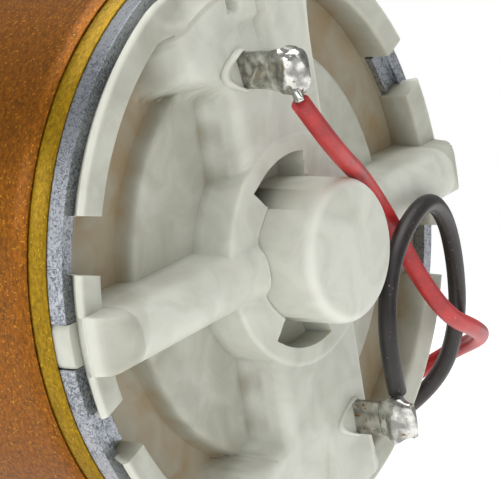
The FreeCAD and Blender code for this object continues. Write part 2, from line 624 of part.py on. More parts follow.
def rotor_parts():
    """Everything that turns with the motor's shaft except its pinion, by node name."""
    shaft_rear = CAN_END_X - BOSS_HEIGHT + BOSS_END_WALL + SHAFT_END_GAP
    parts = {
        "rotor_shaft": rod(MOTOR_SHAFT_R, shaft_rear, layer(0)[1]),
        "rotor_core": rotor_core(),
        "rotor_windings": rotor_windings(),
        "core_insulators": core_insulators(),
        "rotor_spacer": ring(SPACER_R, MOTOR_SHAFT_R + SEATED, CORE_FRONT_X + INSULATOR,
                             CAN_FRONT_X - CAN_FRONT - AIR),
    }
    parts.update(commutator())
    return parts


def field_parts():
    """The magnets, their clips and the two bearings, by node name."""
    gap = (360 - 2 * MAGNET_ANGLE) / 2
    clip_front = (MAGNET_FRONT_X + MAGNET_REAR_X + CLIP_LENGTH) / 2
    inner = MAGNET_R - MAGNET_THICKNESS
    rear_bearing_rear = CAN_END_X - BOSS_HEIGHT + BOSS_END_WALL + 2 * SHAFT_END_GAP
    return {
        "upper_magnet": arc_sector(MAGNET_R, inner, MAGNET_REAR_X, MAGNET_FRONT_X, 90, MAGNET_ANGLE),
        "lower_magnet": arc_sector(MAGNET_R, inner, MAGNET_REAR_X, MAGNET_FRONT_X, 270, MAGNET_ANGLE),
        "magnet_clips": Part.makeCompound(
            [arc_sector(MAGNET_R, MAGNET_R - CLIP_THICKNESS, clip_front - CLIP_LENGTH, clip_front, side, gap)
             for side in (0, 180)]),
        "front_bearing": ring(BEARING_R, MOTOR_SHAFT_R + RUNNING, CAN_FRONT_X - CAN_FRONT,
                              CAN_FRONT_X + CAN_PILOT_LENGTH),
        "rear_bearing": ring(BEARING_R, MOTOR_SHAFT_R + RUNNING, rear_bearing_rear,
                             rear_bearing_rear + BEARING_LENGTH),
    }


# ---- end cap, built with its rib along Y and its terminal band along Z, then turned ----------
TERMINAL_PLACES = ((1, TERMINAL_SIDE, TERMINAL_RADIUS), (-1, -TERMINAL_SIDE, -TERMINAL_RADIUS))


def raised(height, y0, y1, z0, z1):
    """A block from the cap's floor up to a height behind the can's end."""
    return block(CAN_END_X - height, CAN_END_X - CAP_FLOOR, y0, y1, z0, z1)


def end_cap():
    """The moulded nylon cap that carries the rear bearing and the brush gear."""
    floor_x = CAN_END_X - CAP_FLOOR
    rim_x = CAN_END_X - RIM_HEIGHT
    cap = rod(CAP_R, floor_x, CAP_PLATE_X)
    cap = cap.fuse(ring(CAP_R, CAP_R - CAP_SKIRT_WALL, CAP_PLATE_X, CAP_PLATE_X + CAP_SKIRT))
    cap = cap.fuse(ring(CAP_R, RIM_INNER_R, CAN_END_X, floor_x))
    cap = cap.fuse(ring(RIM_R, RIM_INNER_R, rim_x, CAN_END_X))
    cap = cap.fuse(rod(DISC_R, CAN_END_X - DISC_HEIGHT, floor_x))
    band = raised(BAND_HEIGHT, -BAND_WIDTH / 2, BAND_WIDTH / 2, -RIM_R, RIM_R)
    cap = cap.fuse(band.common(rod(RIM_INNER_R + RIM_WIDTH / 2, CAN_END_X - BAND_HEIGHT, floor_x)))
    gap = block(CAN_END_X - RIM_HEIGHT - THROUGH, CAN_END_X - RIM_GAP_FLOOR, RIM_INNER_R - THROUGH,
                CAN_R + THROUGH, -RIM_GAP_WIDTH / 2, RIM_GAP_WIDTH / 2)
    for angle in PLAIN_GAP_ANGLES + STAKED_GAP_ANGLES:
        cap = cap.cut(turned(gap, angle))
    rib_end = CAN_R - RIB_END_INSET
    rib = block(CAN_END_X - RIB_HEIGHT, CAN_END_X, -rib_end, rib_end, -RIB_WIDTH / 2, RIB_WIDTH / 2)
    rib = rounded(rib, RIB_EDGE, lambda e: e.CenterOfMass.x < CAN_END_X - RIB_HEIGHT + SEATED)
    root = block(CAN_END_X, floor_x, -RIM_INNER_R, RIM_INNER_R, -RIB_WIDTH / 2, RIB_WIDTH / 2)
    cap = cap.fuse(rib).fuse(root)
    cap = cap.fuse(rod(HUB_R, CAN_END_X - BAND_HEIGHT, floor_x))
    boss = rod(BOSS_R, CAN_END_X - BOSS_HEIGHT, floor_x)
    cap = cap.fuse(rounded(boss, BOSS_EDGE, end_circle(CAN_END_X - BOSS_HEIGHT, BOSS_R)))
    seat_x = CAN_END_X - BOSS_HEIGHT + BOSS_END_WALL
    cap = cap.cut(rod(BEARING_R + SEATED, seat_x, CAP_PLATE_X + THROUGH))
    for side, y, z in TERMINAL_PLACES:
        half_t = TERMINAL_THICKNESS / 2 + SLOT_CLEAR
        half_w = TERMINAL_WIDTH / 2 + SLOT_CLEAR
        cap = cap.cut(block(CAN_END_X - RIB_HEIGHT, CAP_PLATE_X + THROUGH, y - half_t, y + half_t,
                            z - half_w, z + half_w))
        cap = cap.cut(arc_sector(WINDOW_R, BOSS_R, CAN_END_X - RIB_HEIGHT, CAP_PLATE_X + THROUGH,
                                 side * 90, WINDOW_ANGLE))
    tab = block(CAN_END_X, CAN_END_X + KEY_DEPTH - KEY_CLEAR, CAP_R - CAP_SKIRT_WALL, CAN_R,
                -KEY_WIDTH / 2 + KEY_CLEAR, KEY_WIDTH / 2 - KEY_CLEAR)
    tab = tab.common(rod(CAN_R, CAN_END_X - THROUGH, CAN_END_X + KEY_DEPTH))
    for side in (0, 180):
        cap = cap.fuse(turned(tab, side))
    return turned(cap.removeSplitter(), KEY_ANGLE)


def brush_gear():
    """Terminals, brush arms, brushes and solder for the two sides, by node name."""
    parts = {}
    arm_y = COMMUTATOR_R + BRUSH_GAP + BRUSH_LENGTH
    foot_x = CAP_PLATE_X
    arm_x = foot_x + FOOT_THICKNESS
    for name, (side, y, z) in zip(("upper", "lower"), TERMINAL_PLACES):
        half_w = TERMINAL_WIDTH / 2
        half_t = TERMINAL_THICKNESS / 2
        tab = block(CAN_END_X - TERMINAL_HEIGHT, foot_x, y - half_t, y + half_t, z - half_w, z + half_w)
        outside = side * (arm_y + ARM_THICKNESS)
        foot = block(foot_x, arm_x, min(y - half_t, outside), max(y + half_t, outside),
                     z - half_w, z + half_w)
        ends = sorted((side * arm_y, outside))
        reach = sorted((z + side * half_w, -side * ARM_PAST))
        arm = block(arm_x, arm_x + ARM_WIDTH, ends[0], ends[1], reach[0], reach[1])
        faces = sorted((side * (COMMUTATOR_R + BRUSH_GAP), side * arm_y))
        brush = block(arm_x, arm_x + BRUSH_WIDTH, faces[0], faces[1], -BRUSH_WIDTH / 2, BRUSH_WIDTH / 2)
        centre = Vector(CAN_END_X - TERMINAL_HEIGHT + SOLDER_LENGTH / 2, y, z)
        solder = Part.makeSphere(SOLDER_R, centre)
        stretch = FreeCAD.Matrix()
        stretch.move(-centre)
        stretch.scale(Vector(SOLDER_LENGTH / (2 * SOLDER_R), SOLDER_DEPTH_R / SOLDER_R, 1.0))
        stretch.move(centre)
        solder = solder.transformGeometry(stretch).cut(tab)
        parts[name + "_terminal"] = turned(tab.fuse(foot).removeSplitter(), KEY_ANGLE)
        parts[name + "_brush_arm"] = turned(arm, KEY_ANGLE)
        parts[name + "_brush"] = turned(brush, KEY_ANGLE)
        parts[name + "_solder"] = turned(solder, KEY_ANGLE)
    return parts


# ---- leads ------------------------------------------------------------------------------------
def bent_tube(name, route, diameter):
    """A tube along straight runs joined by the largest tangent arcs that the runs allow."""
    points = [Vector(*place) for place in route]
    edges = []
    radii = []
    start = points[0]
    for before, corner, after in zip(points, points[1:], points[2:]):
        inward = (corner - before).normalize()
        outward = (after - corner).normalize()
        half_turn = inward.getAngle(outward) / 2
        reach = BEND_SHARE * min((corner - before).Length, (after - corner).Length)
        radius = reach / math.tan(half_turn)
        first = corner - inward * reach
        last = corner + outward * reach
        sagitta = radius / math.cos(half_turn) - radius
        middle = corner + (outward - inward).normalize() * sagitta
        edges.append(Part.LineSegment(start, first).toShape())
        edges.append(Part.Arc(first, middle, last).toShape())
        radii.append(round(radius, 1))
        start = last
    edges.append(Part.LineSegment(start, points[-1]).toShape())
    path = Part.Wire(edges)
    section = Part.Wire(Part.Circle(points[0], points[1] - points[0], diameter / 2).toShape())
    tube = path.makePipeShell([section], True, False)
    print(name, "length", round(path.Length, 1), "tightest bend", min(radii))
    return tube


def lead_coil(radius, turns):
    """The space that a lead's turns fill, as one closed ring with its axis upright."""
    height = turns * COIL_PITCH + LEAD_D
    base = Vector(*COIL_CENTRE, COIL_BASE)
    outside = Part.makeCylinder(radius + LEAD_D / 2, height, base)
    return outside.cut(Part.makeCylinder(radius - LEAD_D / 2, height, base))


def bare_conductor(start, end):
    """A short straight stretch of tinned conductor between two points."""
    start, end = Vector(*start), Vector(*end)
    return Part.makeCylinder(STRAND_D / 2, (end - start).Length, start, end - start)


def tail_tip(tail):
    """The tinned end of a lead, straight on from its tail."""
    last, before = Vector(*tail[-1]), Vector(*tail[-2])
    return bare_conductor(last, last + (last - before).normalize() * BARE_END)


def coil_tie():
    """The band that holds the two coils together, on their +X side."""
    inner = RED_COIL_R - LEAD_D / 2 - TIE_CLEAR
    inner = math.sqrt(inner ** 2 - (TIE_WIDTH / 2) ** 2) - TIE_CLEAR
    outer = BLACK_COIL_R + LEAD_D / 2 + TIE_CLEAR
    top = COIL_BASE + RED_TURNS * COIL_PITCH + LEAD_D + TIE_CLEAR
    x, y = COIL_CENTRE
    sides = (y - TIE_WIDTH / 2, y + TIE_WIDTH / 2)
    body = block(x + inner - TIE_THICKNESS, x + outer + TIE_THICKNESS, *sides,
                 COIL_BASE - TIE_THICKNESS - TIE_CLEAR, top + TIE_THICKNESS)
    return body.cut(block(x + inner, x + outer, y - TIE_WIDTH, y + TIE_WIDTH, COIL_BASE - TIE_CLEAR, top))


def terminal_strands(name, route):
    """The conductor between a terminal's solder and the start of the lead's insulation."""
    side, y, z = TERMINAL_PLACES[("upper", "lower").index(name)]
    inside = Vector(CAN_END_X - TERMINAL_HEIGHT + SOLDER_LENGTH / 2, y, z - side * TERMINAL_WIDTH / 2)
    inside = FreeCAD.Rotation(X_AXIS, KEY_ANGLE).multVec(inside)
    return bare_conductor(inside, route[0])


def leads():
    """Both leads, from their terminals to the tinned ends that leave the coil, by node name."""
    parts = {"lead_tie": coil_tie()}
    for name, side, route, tail, radius, turns in (
            ("red", "upper", RED_ROUTE, RED_TAIL, RED_COIL_R, RED_TURNS),
            ("black", "lower", BLACK_ROUTE, BLACK_TAIL, BLACK_COIL_R, BLACK_TURNS)):
        parts[name + "_lead"] = Part.makeCompound([bent_tube(name + " lead", route, LEAD_D),
                                                   bent_tube(name + " tail", tail, LEAD_D)])
        parts[name + "_lead_coil"] = lead_coil(radius, turns)
        parts[name + "_lead_tip"] = tail_tip(tail)
        parts[name + "_lead_strands"] = terminal_strands(side, route).cut(parts[name + "_lead"])
    return parts


def soldered(parts):
    """The parts with each solder bead shaped round its terminal and the conductor in it."""
    for side, lead in (("upper", "red"), ("lower", "black")):
        strands = parts[lead + "_lead_strands"].cut(parts[side + "_terminal"])
        parts[lead + "_lead_strands"] = strands
        parts[side + "_solder"] = parts[side + "_solder"].cut(strands)
    return parts


# ---- build ------------------------------------------------------------------------------------
def all_parts():
    parts = {"motor_can": motor_can(), "end_cap": end_cap()}
    groups = (gearbox_parts(), gear_train(), films(), rotor_parts(), field_parts(), brush_gear(), leads())
    for group in groups:
        parts.update(group)
    return soldered(parts)


def main():
    os.makedirs("parts", exist_ok=True)
    for name, shape in all_parts().items():
        shape.exportStep("parts/" + name + ".step")
        print(name, "solids", len(shape.Solids), "valid", shape.isValid(), "volume", round(shape.Volume, 2))


main()
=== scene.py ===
"""The looks of a geared dc motor: a film-wrapped brushed motor on a spur gearbox with an offset shaft.

X runs along the motor's axis towards the output shaft and Z is up. Sizes are in millimetres and
become metres where a mesh is made. Only the leads' routes and the lights' places are in metres.
"""
import logging
import math
from dataclasses import dataclass
from enum import Enum
from typing import Any, Callable, Mapping, Optional, Sequence

import bpy
import numpy as np
from mathutils import Matrix, Vector, noise


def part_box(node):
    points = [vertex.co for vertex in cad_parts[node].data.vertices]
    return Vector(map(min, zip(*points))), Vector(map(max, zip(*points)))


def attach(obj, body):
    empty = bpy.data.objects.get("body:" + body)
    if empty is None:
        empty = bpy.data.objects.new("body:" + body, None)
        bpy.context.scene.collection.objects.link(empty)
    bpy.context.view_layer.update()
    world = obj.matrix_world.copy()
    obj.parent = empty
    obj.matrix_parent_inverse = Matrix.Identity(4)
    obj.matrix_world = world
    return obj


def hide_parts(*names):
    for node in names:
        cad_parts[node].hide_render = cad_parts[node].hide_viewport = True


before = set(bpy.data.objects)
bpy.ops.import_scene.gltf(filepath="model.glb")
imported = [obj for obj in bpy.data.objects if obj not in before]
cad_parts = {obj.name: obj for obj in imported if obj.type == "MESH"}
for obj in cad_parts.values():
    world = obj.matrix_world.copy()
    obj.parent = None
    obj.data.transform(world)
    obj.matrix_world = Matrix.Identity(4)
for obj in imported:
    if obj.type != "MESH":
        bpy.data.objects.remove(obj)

LOG = logging.getLogger("geared_motor")
MM = 0.001                          # metres in a millimetre
CAN_END_X = -53.1                   # plane of the can's rear end
KEY_ANGLE = math.radians(-17.3)     # how the cap's rib is turned from +Y

Point = tuple[float, float, float]
Colour = tuple[float, float, float, float]


# ---- small tools ------------------------------------------------------------------------------
def linear(hex_colour: str) -> Colour:
    """Turns an sRGB hex colour into linear RGBA.

    Args:
        hex_colour: Six hex digits after a hash.

    Returns:
        The colour as four linear numbers.
    """
    channels = [int(hex_colour[i:i + 2], 16) / 255 for i in (1, 3, 5)]
    red, green, blue = [c / 12.92 if c <= 0.04045 else ((c + 0.055) / 1.055) ** 2.4 for c in channels]
    return red, green, blue, 1.0


def per_mm(size: float) -> float:
    """Turns the size of a pattern into a texture's scale.

    Args:
        size: Size of the pattern in millimetres.

    Returns:
        The scale that gives it.
    """
    return 1.0 / (size * MM)


def add(tree: bpy.types.NodeTree, kind: str, attributes: Optional[Mapping[str, Any]] = None,
        values: Optional[Mapping[Any, Any]] = None, links: Optional[Mapping[Any, Any]] = None,
        stops: Sequence[tuple[float, Colour]] = ()) -> bpy.types.Node:
    """Adds a node with its settings and its links.

    Args:
        tree: The node tree that gets the node.
        kind: The node's type name.
        attributes: Properties set on the node itself.
        values: Input names or numbers, and what they are set to.
        links: Input names or numbers, and the sockets that feed them.
        stops: The places and colours of a colour ramp.

    Returns:
        The new node.
    """
    made = tree.nodes.new(kind)
    for name, value in (attributes or {}).items():
        setattr(made, name, value)
    for key, value in (values or {}).items():
        made.inputs[key].default_value = value
    for key, socket in (links or {}).items():
        tree.links.new(socket, made.inputs[key])
    if stops:
        elements = made.color_ramp.elements
        while len(elements) < len(stops):
            elements.new(0.5)
        for element, (place, colour) in zip(elements, stops):
            element.position = place
            element.color = colour
    return made


def grey(level: float) -> Colour:
    """Makes a grey, for a ramp that carries a number.

    Args:
        level: The number, from 0 to 1.

    Returns:
        The grey.
    """
    return level, level, level, 1.0


def plug(tree: bpy.types.NodeTree, node: bpy.types.Node, sockets: Mapping[str, bpy.types.NodeSocket]) -> None:
    """Feeds a node's inputs.

    Args:
        tree: The node tree both are in.
        node: The node that is fed.
        sockets: Input names and the sockets that feed them.
    """
    for name, socket in sockets.items():
        tree.links.new(socket, node.inputs[name])


def new_material(name: str) -> tuple[bpy.types.Material, bpy.types.Node]:
    """Makes a material with an empty principled shader.

    Args:
        name: The material's name.

    Returns:
        The material and its principled shader.
    """
    material = bpy.data.materials.new(name)
    material.use_nodes = True
    tree = material.node_tree
    tree.nodes.clear()
    shader = add(tree, "ShaderNodeBsdfPrincipled")
    add(tree, "ShaderNodeOutputMaterial", links={"Surface": shader.outputs["BSDF"]})
    return material, shader


def place_of(tree: bpy.types.NodeTree, stretch: Point = (1.0, 1.0, 1.0)) -> bpy.types.NodeSocket:
    """Adds the piece's own coordinates, in metres, stretched along each axis.

    Args:
        tree: The node tree that gets the nodes.
        stretch: How much finer a pattern is along each axis.

    Returns:
        The socket that carries the coordinates.
    """
    own = add(tree, "ShaderNodeTexCoord")
    mapped = add(tree, "ShaderNodeMapping", values={"Scale": stretch},
                 links={"Vector": own.outputs["Object"]})
    return mapped.outputs["Vector"]


def make_piece(name: str, points: Sequence[Sequence[float]], faces: Sequence[Sequence[int]],
               body: str = "stator") -> bpy.types.Object:
    """Makes a smooth-shaded piece that rides on a body.

    Args:
        name: The piece's name.
        points: Its corners in millimetres.
        faces: Its faces as numbers of corners.
        body: The body it rides on.

    Returns:
        The new object.
    """
    mesh = bpy.data.meshes.new(name)
    mesh.from_pydata([tuple(float(c) * MM for c in p) for p in points], [], [list(f) for f in faces])
    mesh.validate()
    mesh.update()
    piece = bpy.data.objects.new(name, mesh)
    bpy.context.scene.collection.objects.link(piece)
    mesh.shade_smooth()
    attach(piece, body)
    return piece


def cap_point(u: float, v: float, height: float) -> Point:
    """Places a point given along the cap's rib, across it and behind the can's end.

    Args:
        u: Distance along the rib, towards +Y.
        v: Distance across the rib, upwards.
        height: Distance behind the plane of the can's end.

    Returns:
        The same point in the motor's frame.
    """
    cos, sin = math.cos(KEY_ANGLE), math.sin(KEY_ANGLE)
    return CAN_END_X - height, u * cos - v * sin, u * sin + v * cos


def skin(rings: int, sides: int, closed: bool = False, start: int = 0) -> list[list[int]]:
    """Joins rings of corners with four-sided faces.

    Args:
        rings: How many rings there are.
        sides: How many corners each has.
        closed: Whether the last ring joins the first one again.
        start: Number of the first ring's first corner.

    Returns:
        The faces as numbers of corners.
    """
    faces = []
    for ring in range(rings if closed else rings - 1):
        here, there = start + ring * sides, start + (ring + 1) % rings * sides
        for item in range(sides):
            after = (item + 1) % sides
            faces.append([here + item, here + after, there + after, there + item])
    return faces


def lathe(profile: Sequence[tuple[float, float]], turns: int,
          ripple: Callable[[float, float], float]) -> tuple[list[Point], list[list[int]]]:
    """Turns a closed profile about the motor's axis.

    Args:
        profile: Stations and radii round the section.
        turns: How many steps the full circle has.
        ripple: What to add to the radius at a station and an angle.

    Returns:
        The corners and faces of the ring.
    """
    points: list[Point] = []
    for step in range(turns):
        angle = 2 * math.pi * step / turns
        for x, radius in profile:
            grown = radius + ripple(x, angle)
            points.append((x, grown * math.cos(angle), grown * math.sin(angle)))
    return points, skin(turns, len(profile), closed=True)


def swept(path: Sequence[Vector], radius: Callable[[float, float], float], sides: int
          ) -> tuple[list[Vector], list[list[int]]]:
    """Sweeps a round section along a path and closes its two ends.

    Args:
        path: Points of the centreline.
        radius: Gives the radius from the share of the path and the angle round it.
        sides: Corners of each section.

    Returns:
        The corners and faces of the tube.
    """
    points: list[Vector] = []
    side = Vector((0.0, 0.0, 1.0))
    for number, place in enumerate(path):
        ahead = path[min(number + 1, len(path) - 1)] - path[max(number - 1, 0)]
        ahead.normalize()
        side = (side - ahead * side.dot(ahead)).normalized()
        other = ahead.cross(side)
        share = number / (len(path) - 1)
        for corner in range(sides):
            angle = 2 * math.pi * corner / sides
            reach = radius(share, angle)
            points.append(place + side * (reach * math.cos(angle)) + other * (reach * math.sin(angle)))
    faces = skin(len(path), sides)
    faces.append(list(range(sides))[::-1])
    last = (len(path) - 1) * sides
    faces.append([last + corner for corner in range(sides)])
    return points, faces


def wrinkle(place: Sequence[float], size: float, seed: float = 0.0) -> float:
    """Gives smooth noise between about -1 and 1.

    Args:
        place: Where it is read, in millimetres.
        size: Size of its waves in millimetres.
        seed: What sets one noise apart from another.

    Returns:
        The noise there.
    """
    return noise.noise(Vector((place[0] / size + seed, place[1] / size - seed, place[2] / size)))


# ---- finishes ---------------------------------------------------------------------------------
class Making(Enum):
    """How a metal surface was made, as the direction that its marks run."""

    TURNED = "turned"
    DRAWN = "drawn"
    GROUND = "ground"
    SINTERED = "sintered"
    PLATED = "plated"


@dataclass(frozen=True)
class Metal:
    """A metal piece's surface: fine marks from its making, and a little uneven gloss.

    Attributes:
        name: The material's name.
        bright: Colour of the clean metal.
        dull: Colour in the marks.
        making: How the surface was made.
        rough: Roughness between and in the marks.
        mark: Width of the marks in millimetres, drawn coarser than real so that they show.
        relief: Height of the marks in millimetres.
        edge: Radius of the broken edges in millimetres.
    """

    name: str
    bright: str
    dull: str
    making: Making
    rough: tuple[float, float] = (0.25, 0.42)
    mark: float = 0.12
    relief: float = 0.004
    edge: float = 0.06

    def stretch(self) -> Point:
        """Gives how the marks stretch along the three axes.

        Returns:
            The stretch along X, Y and Z.
        """
        return {Making.TURNED: (1.0, 0.06, 0.06), Making.DRAWN: (0.05, 1.0, 1.0),
                Making.GROUND: (1.0, 0.15, 0.15), Making.SINTERED: (1.0, 1.0, 1.0),
                Making.PLATED: (0.6, 1.0, 1.0)}[self.making]

    def material(self) -> bpy.types.Material:
        """Builds the material: metal colour, broken edges, making marks and faint handling stains.

        Returns:
            The material.
        """
        material, shader = new_material(self.name)
        tree = material.node_tree
        place = place_of(tree, self.stretch())
        marks = add(tree, "ShaderNodeTexNoise",
                    values={"Scale": per_mm(self.mark), "Detail": 4.0, "Roughness": 0.6},
                    links={"Vector": place})
        stains = add(tree, "ShaderNodeTexNoise", values={"Scale": per_mm(5.0), "Detail": 3.0},
                     links={"Vector": place_of(tree)})
        both = add(tree, "ShaderNodeMath", {"operation": "MULTIPLY_ADD"}, {1: 0.45},
                   {0: stains.outputs["Fac"], 2: marks.outputs["Fac"]})
        colour = add(tree, "ShaderNodeValToRGB", links={"Fac": both.outputs[0]},
                     stops=((0.45, linear(self.dull)), (0.85, linear(self.bright))))
        rough = add(tree, "ShaderNodeMapRange", values={"From Min": 0.4, "From Max": 1.0,
                                                        "To Min": self.rough[1], "To Max": self.rough[0]},
                    links={"Value": both.outputs[0]})
        edge = add(tree, "ShaderNodeBevel", {"samples": 4}, {"Radius": self.edge * MM})
        bump = add(tree, "ShaderNodeBump", values={"Strength": 0.6, "Distance": self.relief * MM},
                   links={"Height": marks.outputs["Fac"], "Normal": edge.outputs["Normal"]})
        shader.inputs["Metallic"].default_value = 1.0
        plug(tree, shader, {"Base Color": colour.outputs["Color"], "Roughness": rough.outputs["Result"],
                            "Normal": bump.outputs["Normal"]})
        return material


@dataclass(frozen=True)
class Moulded:
    """A hard non-metal surface, moulded or pressed: two close colours, grain and soft edges.

    Attributes:
        name: The material's name.
        main: Its usual colour.
        second: The colour it drifts to.
        grain: Size of the grain in millimetres.
        rough: Lowest and highest roughness.
        relief: Height of the grain in millimetres.
        ior: Index of refraction.
        edge: Radius of the moulded edges in millimetres.
    """

    name: str
    main: str
    second: str
    grain: float
    rough: tuple[float, float] = (0.45, 0.6)
    relief: float = 0.01
    ior: float = 1.5
    edge: float = 0.1

    def material(self) -> bpy.types.Material:
        """Builds the material: drifting colour, matt grain and softened edges.

        Returns:
            The material.
        """
        material, shader = new_material(self.name)
        tree = material.node_tree
        place = place_of(tree)
        grain = add(tree, "ShaderNodeTexNoise", values={"Scale": per_mm(self.grain), "Detail": 5.0},
                    links={"Vector": place})
        drift = add(tree, "ShaderNodeTexNoise", values={"Scale": per_mm(self.grain * 12), "Detail": 2.0},
                    links={"Vector": place})
        both = add(tree, "ShaderNodeMath", {"operation": "MULTIPLY"}, None,
                   {0: grain.outputs["Fac"], 1: drift.outputs["Fac"]})
        colour = add(tree, "ShaderNodeValToRGB", links={"Fac": both.outputs[0]},
                     stops=((0.12, linear(self.second)), (0.38, linear(self.main))))
        rough = add(tree, "ShaderNodeMapRange", values={"To Min": self.rough[0], "To Max": self.rough[1]},
                    links={"Value": drift.outputs["Fac"]})
        edge = add(tree, "ShaderNodeBevel", {"samples": 4}, {"Radius": self.edge * MM})
        bump = add(tree, "ShaderNodeBump", values={"Strength": 0.5, "Distance": self.relief * MM},
                   links={"Height": grain.outputs["Fac"], "Normal": edge.outputs["Normal"]})
        shader.inputs["IOR"].default_value = self.ior
        plug(tree, shader, {"Base Color": colour.outputs["Color"], "Roughness": rough.outputs["Result"],
                            "Normal": bump.outputs["Normal"]})
        return material


@dataclass(frozen=True)
class NaturalNylon:
    """Unfilled moulded nylon 66: milky, a little see-through, greyer where it is thin, with painted shade in
    its recesses and painted highlights on its edges.

    Attributes:
        name: The material's name.
        milky: Colour of the thick walls.
        cool: Colour where grey shows through, also the first step of the painted shade.
        painted_shade_tan: Colour of the painted shade in the deepest places.
        painted_highlight: Colour of the painted highlights on edges.
        scatter: How deep light spreads, in millimetres.
    """

    name: str = "natural_nylon"
    milky: str = "#D2D4C9"
    cool: str = "#A5A597"
    painted_shade_tan: str = "#94805F"
    painted_highlight: str = "#E6E8DE"
    scatter: float = 0.7

    def material(self) -> bpy.types.Material:
        """Builds the material: milk with painted shade by depth and painted edge highlights, flow clouds,
        fine scratches and an eggshell gloss.

        Returns:
            The material.
        """
        material, shader = new_material(self.name)
        tree = material.node_tree
        place = place_of(tree)
        # Painted shade: the depth attribute darkens low places, and also carries the rim's cooler tone.
        depth = add(tree, "ShaderNodeAttribute", {"attribute_name": "depth"})
        # Painted highlight: the chalk attribute lights the cap's sharp edges.
        painted_highlight = add(tree, "ShaderNodeAttribute", {"attribute_name": "painted_highlight"})
        clouds = add(tree, "ShaderNodeTexNoise",
                     values={"Scale": per_mm(2.6), "Detail": 4.0, "Distortion": 0.8}, links={"Vector": place})
        flow = add(tree, "ShaderNodeTexNoise", values={"Scale": per_mm(0.5), "Detail": 3.0},
                   links={"Vector": place})
        shade = add(tree, "ShaderNodeMath", {"operation": "MULTIPLY_ADD"}, {1: 0.5},
                    {0: clouds.outputs["Fac"], 2: depth.outputs["Fac"]})
        # The ramp goes from milky through cool grey to tan as the painted shade deepens.
        colour = add(tree, "ShaderNodeValToRGB", links={"Fac": shade.outputs[0]},
                     stops=((0.2, linear(self.milky)), (0.55, linear(self.cool)), (0.85, linear(self.painted_shade_tan))))
        # Mixes the painted edge highlights into the colour.
        with_painted_highlight = add(tree, "ShaderNodeMix", {"data_type": "RGBA"}, {"B": linear(self.painted_highlight)},
                      {"Factor": painted_highlight.outputs["Fac"], "A": colour.outputs["Color"]})
        rough = add(tree, "ShaderNodeMapRange", values={"To Min": 0.3, "To Max": 0.55},
                    links={"Value": flow.outputs["Fac"]})
        scratch = add(tree, "ShaderNodeTexNoise", values={"Scale": per_mm(0.12), "Detail": 2.0},
                      links={"Vector": place_of(tree, (1.0, 0.12, 1.0))})
        low = add(tree, "ShaderNodeBump", values={"Strength": 0.5, "Distance": 0.05 * MM},
                  links={"Height": flow.outputs["Fac"]})
        bump = add(tree, "ShaderNodeBump", values={"Strength": 0.12, "Distance": 0.01 * MM},
                   links={"Height": scratch.outputs["Fac"], "Normal": low.outputs["Normal"]})
        shader.inputs["IOR"].default_value = 1.53
        shader.inputs["Subsurface Weight"].default_value = 0.35
        shader.inputs["Subsurface Radius"].default_value = (1.0, 0.9, 0.65)
        shader.inputs["Subsurface Scale"].default_value = self.scatter * MM
        plug(tree, shader, {"Base Color": with_painted_highlight.outputs["Result"], "Roughness": rough.outputs["Result"],
                            "Normal": bump.outputs["Normal"]})
        return material


@dataclass(frozen=True)
class AmberFilm:
    """Polyimide tape: a glossy amber skin over metal, with gold flecks where light comes back.

    Attributes:
        name: The material's name.
        deep: Colour where the film looks darkest.
        warm: Its usual colour.
        gold: Colour of the flecks.
        fleck: Size of the flecks in millimetres.
        flecks: Noise level above which a fleck shows.
    """

    name: str
    deep: str
    warm: str
    gold: str
    fleck: float = 0.35
    flecks: float = 0.62

    def material(self) -> bpy.types.Material:
        """Builds the material: mottled amber under a clear coat with long shallow wrinkles.

        Returns:
            The material.
        """
        material, shader = new_material(self.name)
        tree = material.node_tree
        place = place_of(tree)
        mottle = add(tree, "ShaderNodeTexNoise",
                     values={"Scale": per_mm(0.34), "Detail": 5.0, "Roughness": 0.7},
                     links={"Vector": place_of(tree, (1.8, 1.0, 1.0))})
        base = add(tree, "ShaderNodeValToRGB", links={"Fac": mottle.outputs["Fac"]},
                   stops=((0.32, linear(self.deep)), (0.68, linear(self.warm))))
        grain = add(tree, "ShaderNodeTexNoise",
                    values={"Scale": per_mm(self.fleck), "Detail": 3.0, "Roughness": 0.7},
                    links={"Vector": place})
        fleck = add(tree, "ShaderNodeMapRange",
                    values={"From Min": self.flecks, "From Max": self.flecks + 0.08},
                    links={"Value": grain.outputs["Fac"]})
        colour = add(tree, "ShaderNodeMix", {"data_type": "RGBA"}, {"B": linear(self.gold)},
                     {"Factor": fleck.outputs["Result"], "A": base.outputs["Color"]})
        waves = add(tree, "ShaderNodeTexNoise", values={"Scale": per_mm(6.0), "Detail": 2.0},
                    links={"Vector": place_of(tree, (0.5, 1.0, 1.0))})
        low = add(tree, "ShaderNodeBump", values={"Strength": 0.4, "Distance": 0.25 * MM},
                  links={"Height": waves.outputs["Fac"]})
        bump = add(tree, "ShaderNodeBump", values={"Strength": 0.25, "Distance": 0.02 * MM},
                   links={"Height": grain.outputs["Fac"], "Normal": low.outputs["Normal"]})
        shader.inputs["IOR"].default_value = 1.5
        shader.inputs["Roughness"].default_value = 0.42
        shader.inputs["Metallic"].default_value = 0.8
        shader.inputs["Coat Weight"].default_value = 0.12
        shader.inputs["Coat Roughness"].default_value = 0.2
        plug(tree, shader, {"Base Color": colour.outputs["Result"], "Normal": bump.outputs["Normal"]})
        return material


